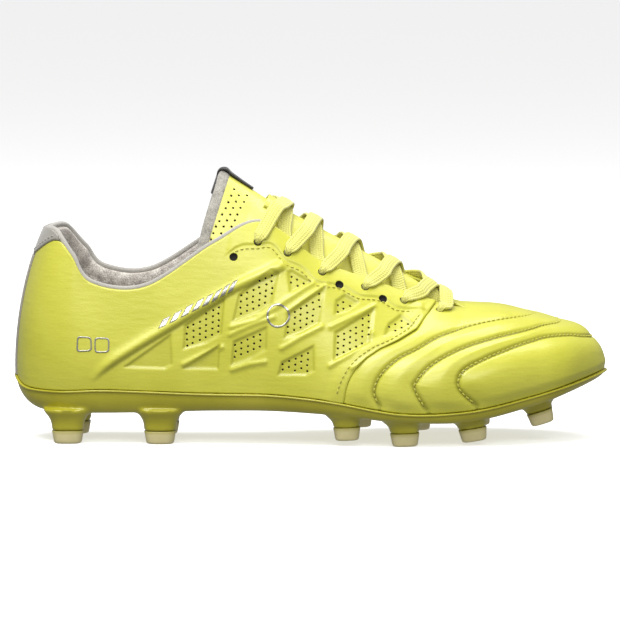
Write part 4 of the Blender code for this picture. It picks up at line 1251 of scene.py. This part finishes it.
# ---- lace ----
# One flat woven polyester lace, 7 mm wide with ribs along it, bunched where it passes an eyelet and
# threaded criss-cross; both tails are tucked inside the quarters. It stays with the upper.
LACE_RADIUS, BAR_HEIGHT, TAIL_SLACK, TAIL_HEIGHT = .0011, .0046, .0009, .68
LACE_WIDTH, LACE_THICK = .0072, .0013
UNDER = LEATHER + LINING + 3*GAP + LACE_RADIUS
OVER = LACE_RADIUS + .0003
# through an eyelet: towards the tongue, towards the toe, height, width and thickness in shares
THREAD = [(.0048, -.0010, -UNDER, .80, 1.1), (.0020, -.0004, -UNDER, .62, 1.3),
          (.0005, 0, -UNDER + .0007, .52, 1.6), (.0003, 0, -.0016, .42, 1.7), (.0004, 0, .0002, .43, 1.7),
          (.0010, .0001, .0014, .54, 1.5), (.0024, .0006, OVER + .0002, .80, 1.2),
          (.0048, .0014, OVER, .95, 1.0)]
# from one side to the other: share of the way, height over the tongue when it starts lateral, medial
CROSSING = [(.14, .0082, .0080), (.27, .0064, .0054), (.40, .0050, .0029), (.50, .0045, .0019),
            (.60, .0038, .0020), (.74, .0024, .0019), (.90, .0018, .0018)]
# tucked end, as (station, height share)
TAIL = [(6.02, .825), (6.2, .76), (6.55, .715), (7.1, .69), (7.7, TAIL_HEIGHT), (8.3, TAIL_HEIGHT)]


def eyelet_frame(index, side):
    """Centre, up, towards the tongue and towards the toe at an eyelet."""
    k, t = EYELETS[index]
    u = on_side(k, side)
    centre, up = skin(u, t), form_normal(u, t)
    return centre, up, unit(skin(u, t + .01) - centre), unit(skin(on_side(k + .02, side), t) - centre)


def half_lace(side):
    """Rows of (point, side vector, width share, thickness share) from a tail to the toe-end eyelet."""
    rows, face = [], 1
    for k, t in TAIL[::-1]:
        u = on_side(k, side)
        depth = UNDER + TAIL_SLACK*min(1, (TAIL[0][1] - t)/.06)
        towards = unit(skin(on_side(TAIL[0][0], side), .87) - skin(u, t))
        rows.append([*skin(u, t, depth), *np.cross(form_normal(u, t), towards), .6, 1.0])
    for index in range(len(EYELETS)):
        centre, up, inwards, forwards = eyelet_frame(index, side)
        for inward, toeward, height, width, thick in THREAD[0 if index else 2:]:
            place = centre + inward*inwards + toeward*forwards + height*up
            rows.append([*place, *(face*np.cross(up, inwards)), width, thick])
        if index < len(EYELETS) - 1:
            start, end = EYELETS[index][0] + .12, EYELETS[index + 1][0] - .10
            k = np.array([start + (end - start)*share for share, _, _ in CROSSING])
            b = np.array([side*.44*(1 - 2*share) for share, _, _ in CROSSING])
            lift = np.array([strand[1 if side < 0 else 2] for strand in CROSSING])
            strand = tongue_skin(k, b, -lift)
            up_here = unit(tongue_skin(k, b, -lift - .001) - strand)
            across = face*np.cross(up_here, unit(np.gradient(strand, axis=0)))
            rows += [[*place, *vector, 1.0, 1.0] for place, vector in zip(strand, across)]
            side, face = -side, -face
    return np.array(rows)


def lace_rows():
    """The whole lace: first half, the last strand over the throat, second half backwards."""
    first, second = half_lace(-1), half_lace(1)
    start, end = first[-1], second[-1]
    if (start[3:6]*end[3:6]).sum() < 0:
        second[:, 3:6] *= -1
    bar = [start + (end - start)*share for share in (.25, .5, .75)]
    for share, row in zip((.25, .5, .75), bar):
        row[2] += BAR_HEIGHT*math.sin(math.pi*share)
        row[6:] = 1.0
    controls = np.concatenate([first, bar, second[::-1]])
    steps = np.maximum(1, np.ceil(np.linalg.norm(np.diff(controls[:, :3], axis=0), axis=1)/.0008)).astype(int)
    places = [start + np.arange(count)/count for start, count in enumerate(steps)] + [[len(controls) - 1.]]
    return along(controls, np.concatenate(places), 0, False)


def lace_weave():
    """Flat tubular weave: chevrons of plaited yarn that follow the lace, with a soft sheen."""
    made = Finish("lace_weave", roughness=0.8, Sheen_Weight=0.4, Sheen_Roughness=0.5)
    run, across = made.attribute("run"), made.attribute("across")
    tilt = made.node("ShaderNodeMath", {"operation": "ABSOLUTE"}, across)
    plait = made.node("ShaderNodeMath", {"operation": "SINE"}, run*5200.0 + tilt*7.0)*.5 + .5
    ribs = made.node("ShaderNodeMath", {"operation": "COSINE"}, across*15.7)*.5 + .5
    fuzz = made.noise(2200, 3)
    # the ribs term paints highlight on the crests of the lengthwise ribs and shade in the troughs between
    # them; plait and fuzz are the weave's own tone
    colour = made.mix(plait*.45 + ribs*.25 + fuzz*.3, (.58, .56, .09), (.84, .81, .24))
    return made.surface(colour=colour, height=plait*.6 + ribs*.6 + fuzz*.4, relief=.00022)


lace_line = lace_rows()
lace_path = lace_line[:, :3]
lace_run = unit(np.gradient(lace_path, axis=0))
lace_side = unit(lace_line[:, 3:6] - (lace_line[:, 3:6]*lace_run).sum(-1, keepdims=True)*lace_run)
LACE_SIDES = 28
turns = np.linspace(0, 2*math.pi, LACE_SIDES, endpoint=False)
flat, thick = squared(turns, .62)
rib = 1 + .22*np.cos(flat*math.pi*5)
profile = np.stack([.5*LACE_WIDTH*lace_line[:, 6:7]*flat,
                    .5*LACE_THICK*lace_line[:, 7:8]*thick*rib], -1)
lace = carried("lace", lace_path, (lace_side, np.cross(lace_side, lace_run)), profile, lace_weave())
store(lace, "run", np.repeat(reach_along(lace_path), LACE_SIDES))
store(lace, "across", np.tile(flat, len(lace_path)))
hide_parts("lace")

# ---- lace tips ----
# Clear acetate film rolled tight over each end of the lace.


def acetate():
    """Clear film, slightly clouded, over the lace's yellow."""
    made = Finish("acetate", roughness=0.15, IOR=1.48, Coat_Weight=0.5)
    cloud = made.noise(900, 3)
    return made.surface(colour=made.mix(cloud, (.62, .60, .30), (.80, .78, .55)), roughness=cloud*.1 + .1)


tip_film = acetate()
for side, name in ((-1, "lateral"), (1, "medial")):
    u = on_side(np.linspace(8.33, 8.95, 30), side)
    path = skin(u, TAIL_HEIGHT, UNDER + TAIL_SLACK)
    run = unit(np.gradient(path, axis=0))
    up = form_normal(u, TAIL_HEIGHT)
    size = (1 - .25*np.linspace(0, 1, 30)**6)[:, None, None]
    frames = (unit(np.cross(run, up)), up)
    film = carried("lace_film_" + name, path, frames, size*circle(.0013, 14), tip_film)
    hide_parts("lace_tip_" + name)

# ---- silver marks ----
# Thin foil pressed on by heat: a row of slanted bars, a ring, and two outlined squares at the heel.
MARK_HEIGHT = .00014


def foil():
    """Silver transfer foil, a little crackled."""
    made = Finish("silver_foil", roughness=0.42, metallic=0.92)
    crackle = made.noise(1300, 4)
    return made.surface(colour=made.mix(crackle, (.36, .35, .31), (.58, .57, .53)), roughness=crackle*.3 + .2,
                        height=crackle, relief=.00005)


foil_material = foil()


def ring_places(centre, radius, width, square, count=72):
    """(station, share) of a ring, upright in side view: |x|^n + |z|^n = r^n with n from its squareness.

    A step in (x, z) becomes a step in (station, share) through the inverse of the form's slopes."""
    k, t = centre
    step = 1e-3
    slopes = np.stack([(form(k + step, t) - form(k - step, t))[[0, 2]],
                       (form(k, t + step) - form(k, t - step))[[0, 2]]], 1)
    turn = np.linspace(0, 2*math.pi, count + 1)[:, None]
    shape = (np.abs(np.cos(turn))**square + np.abs(np.sin(turn))**square)**(1/square)
    reach = (radius + width*np.linspace(-.5, .5, 4))/shape
    moved = np.stack([reach*np.cos(turn), reach*np.sin(turn)], -1) @ np.linalg.inv(slopes/(2*step)).T
    return k + moved[..., 0], t + moved[..., 1]


def bar_places(share):
    """(station, share) of one slanted bar in the row."""
    across, rise = np.linspace(0, 1, 8)[:, None], np.linspace(0, 1, 8)[None]
    k = 4.22 + 1.42*(share + .085*across) + .07*rise
    return k, .545 + .065*rise + .045*(k - 4.22)/1.42


for side, name in ((-1, "lateral"), (1, "medial")):
    shapes = [bar_places(share) for share in np.linspace(0, .90, 8)]
    shapes += [ring_places((6.72, .50), .0052, .0009, 2.0)]
    shapes += [ring_places(place, .0033, .0006, 5.0) for place in ((2.68, .395), (3.13, .415))]
    for number, (k, t) in enumerate(shapes):
        u = on_side(k, side)
        height = quarter_height(u, t)[0] + MARK_HEIGHT
        sheet_piece("mark_%s_%d" % (name, number), skin(u, t, -height), .0001, foil_material,
                    flip=side > 0)
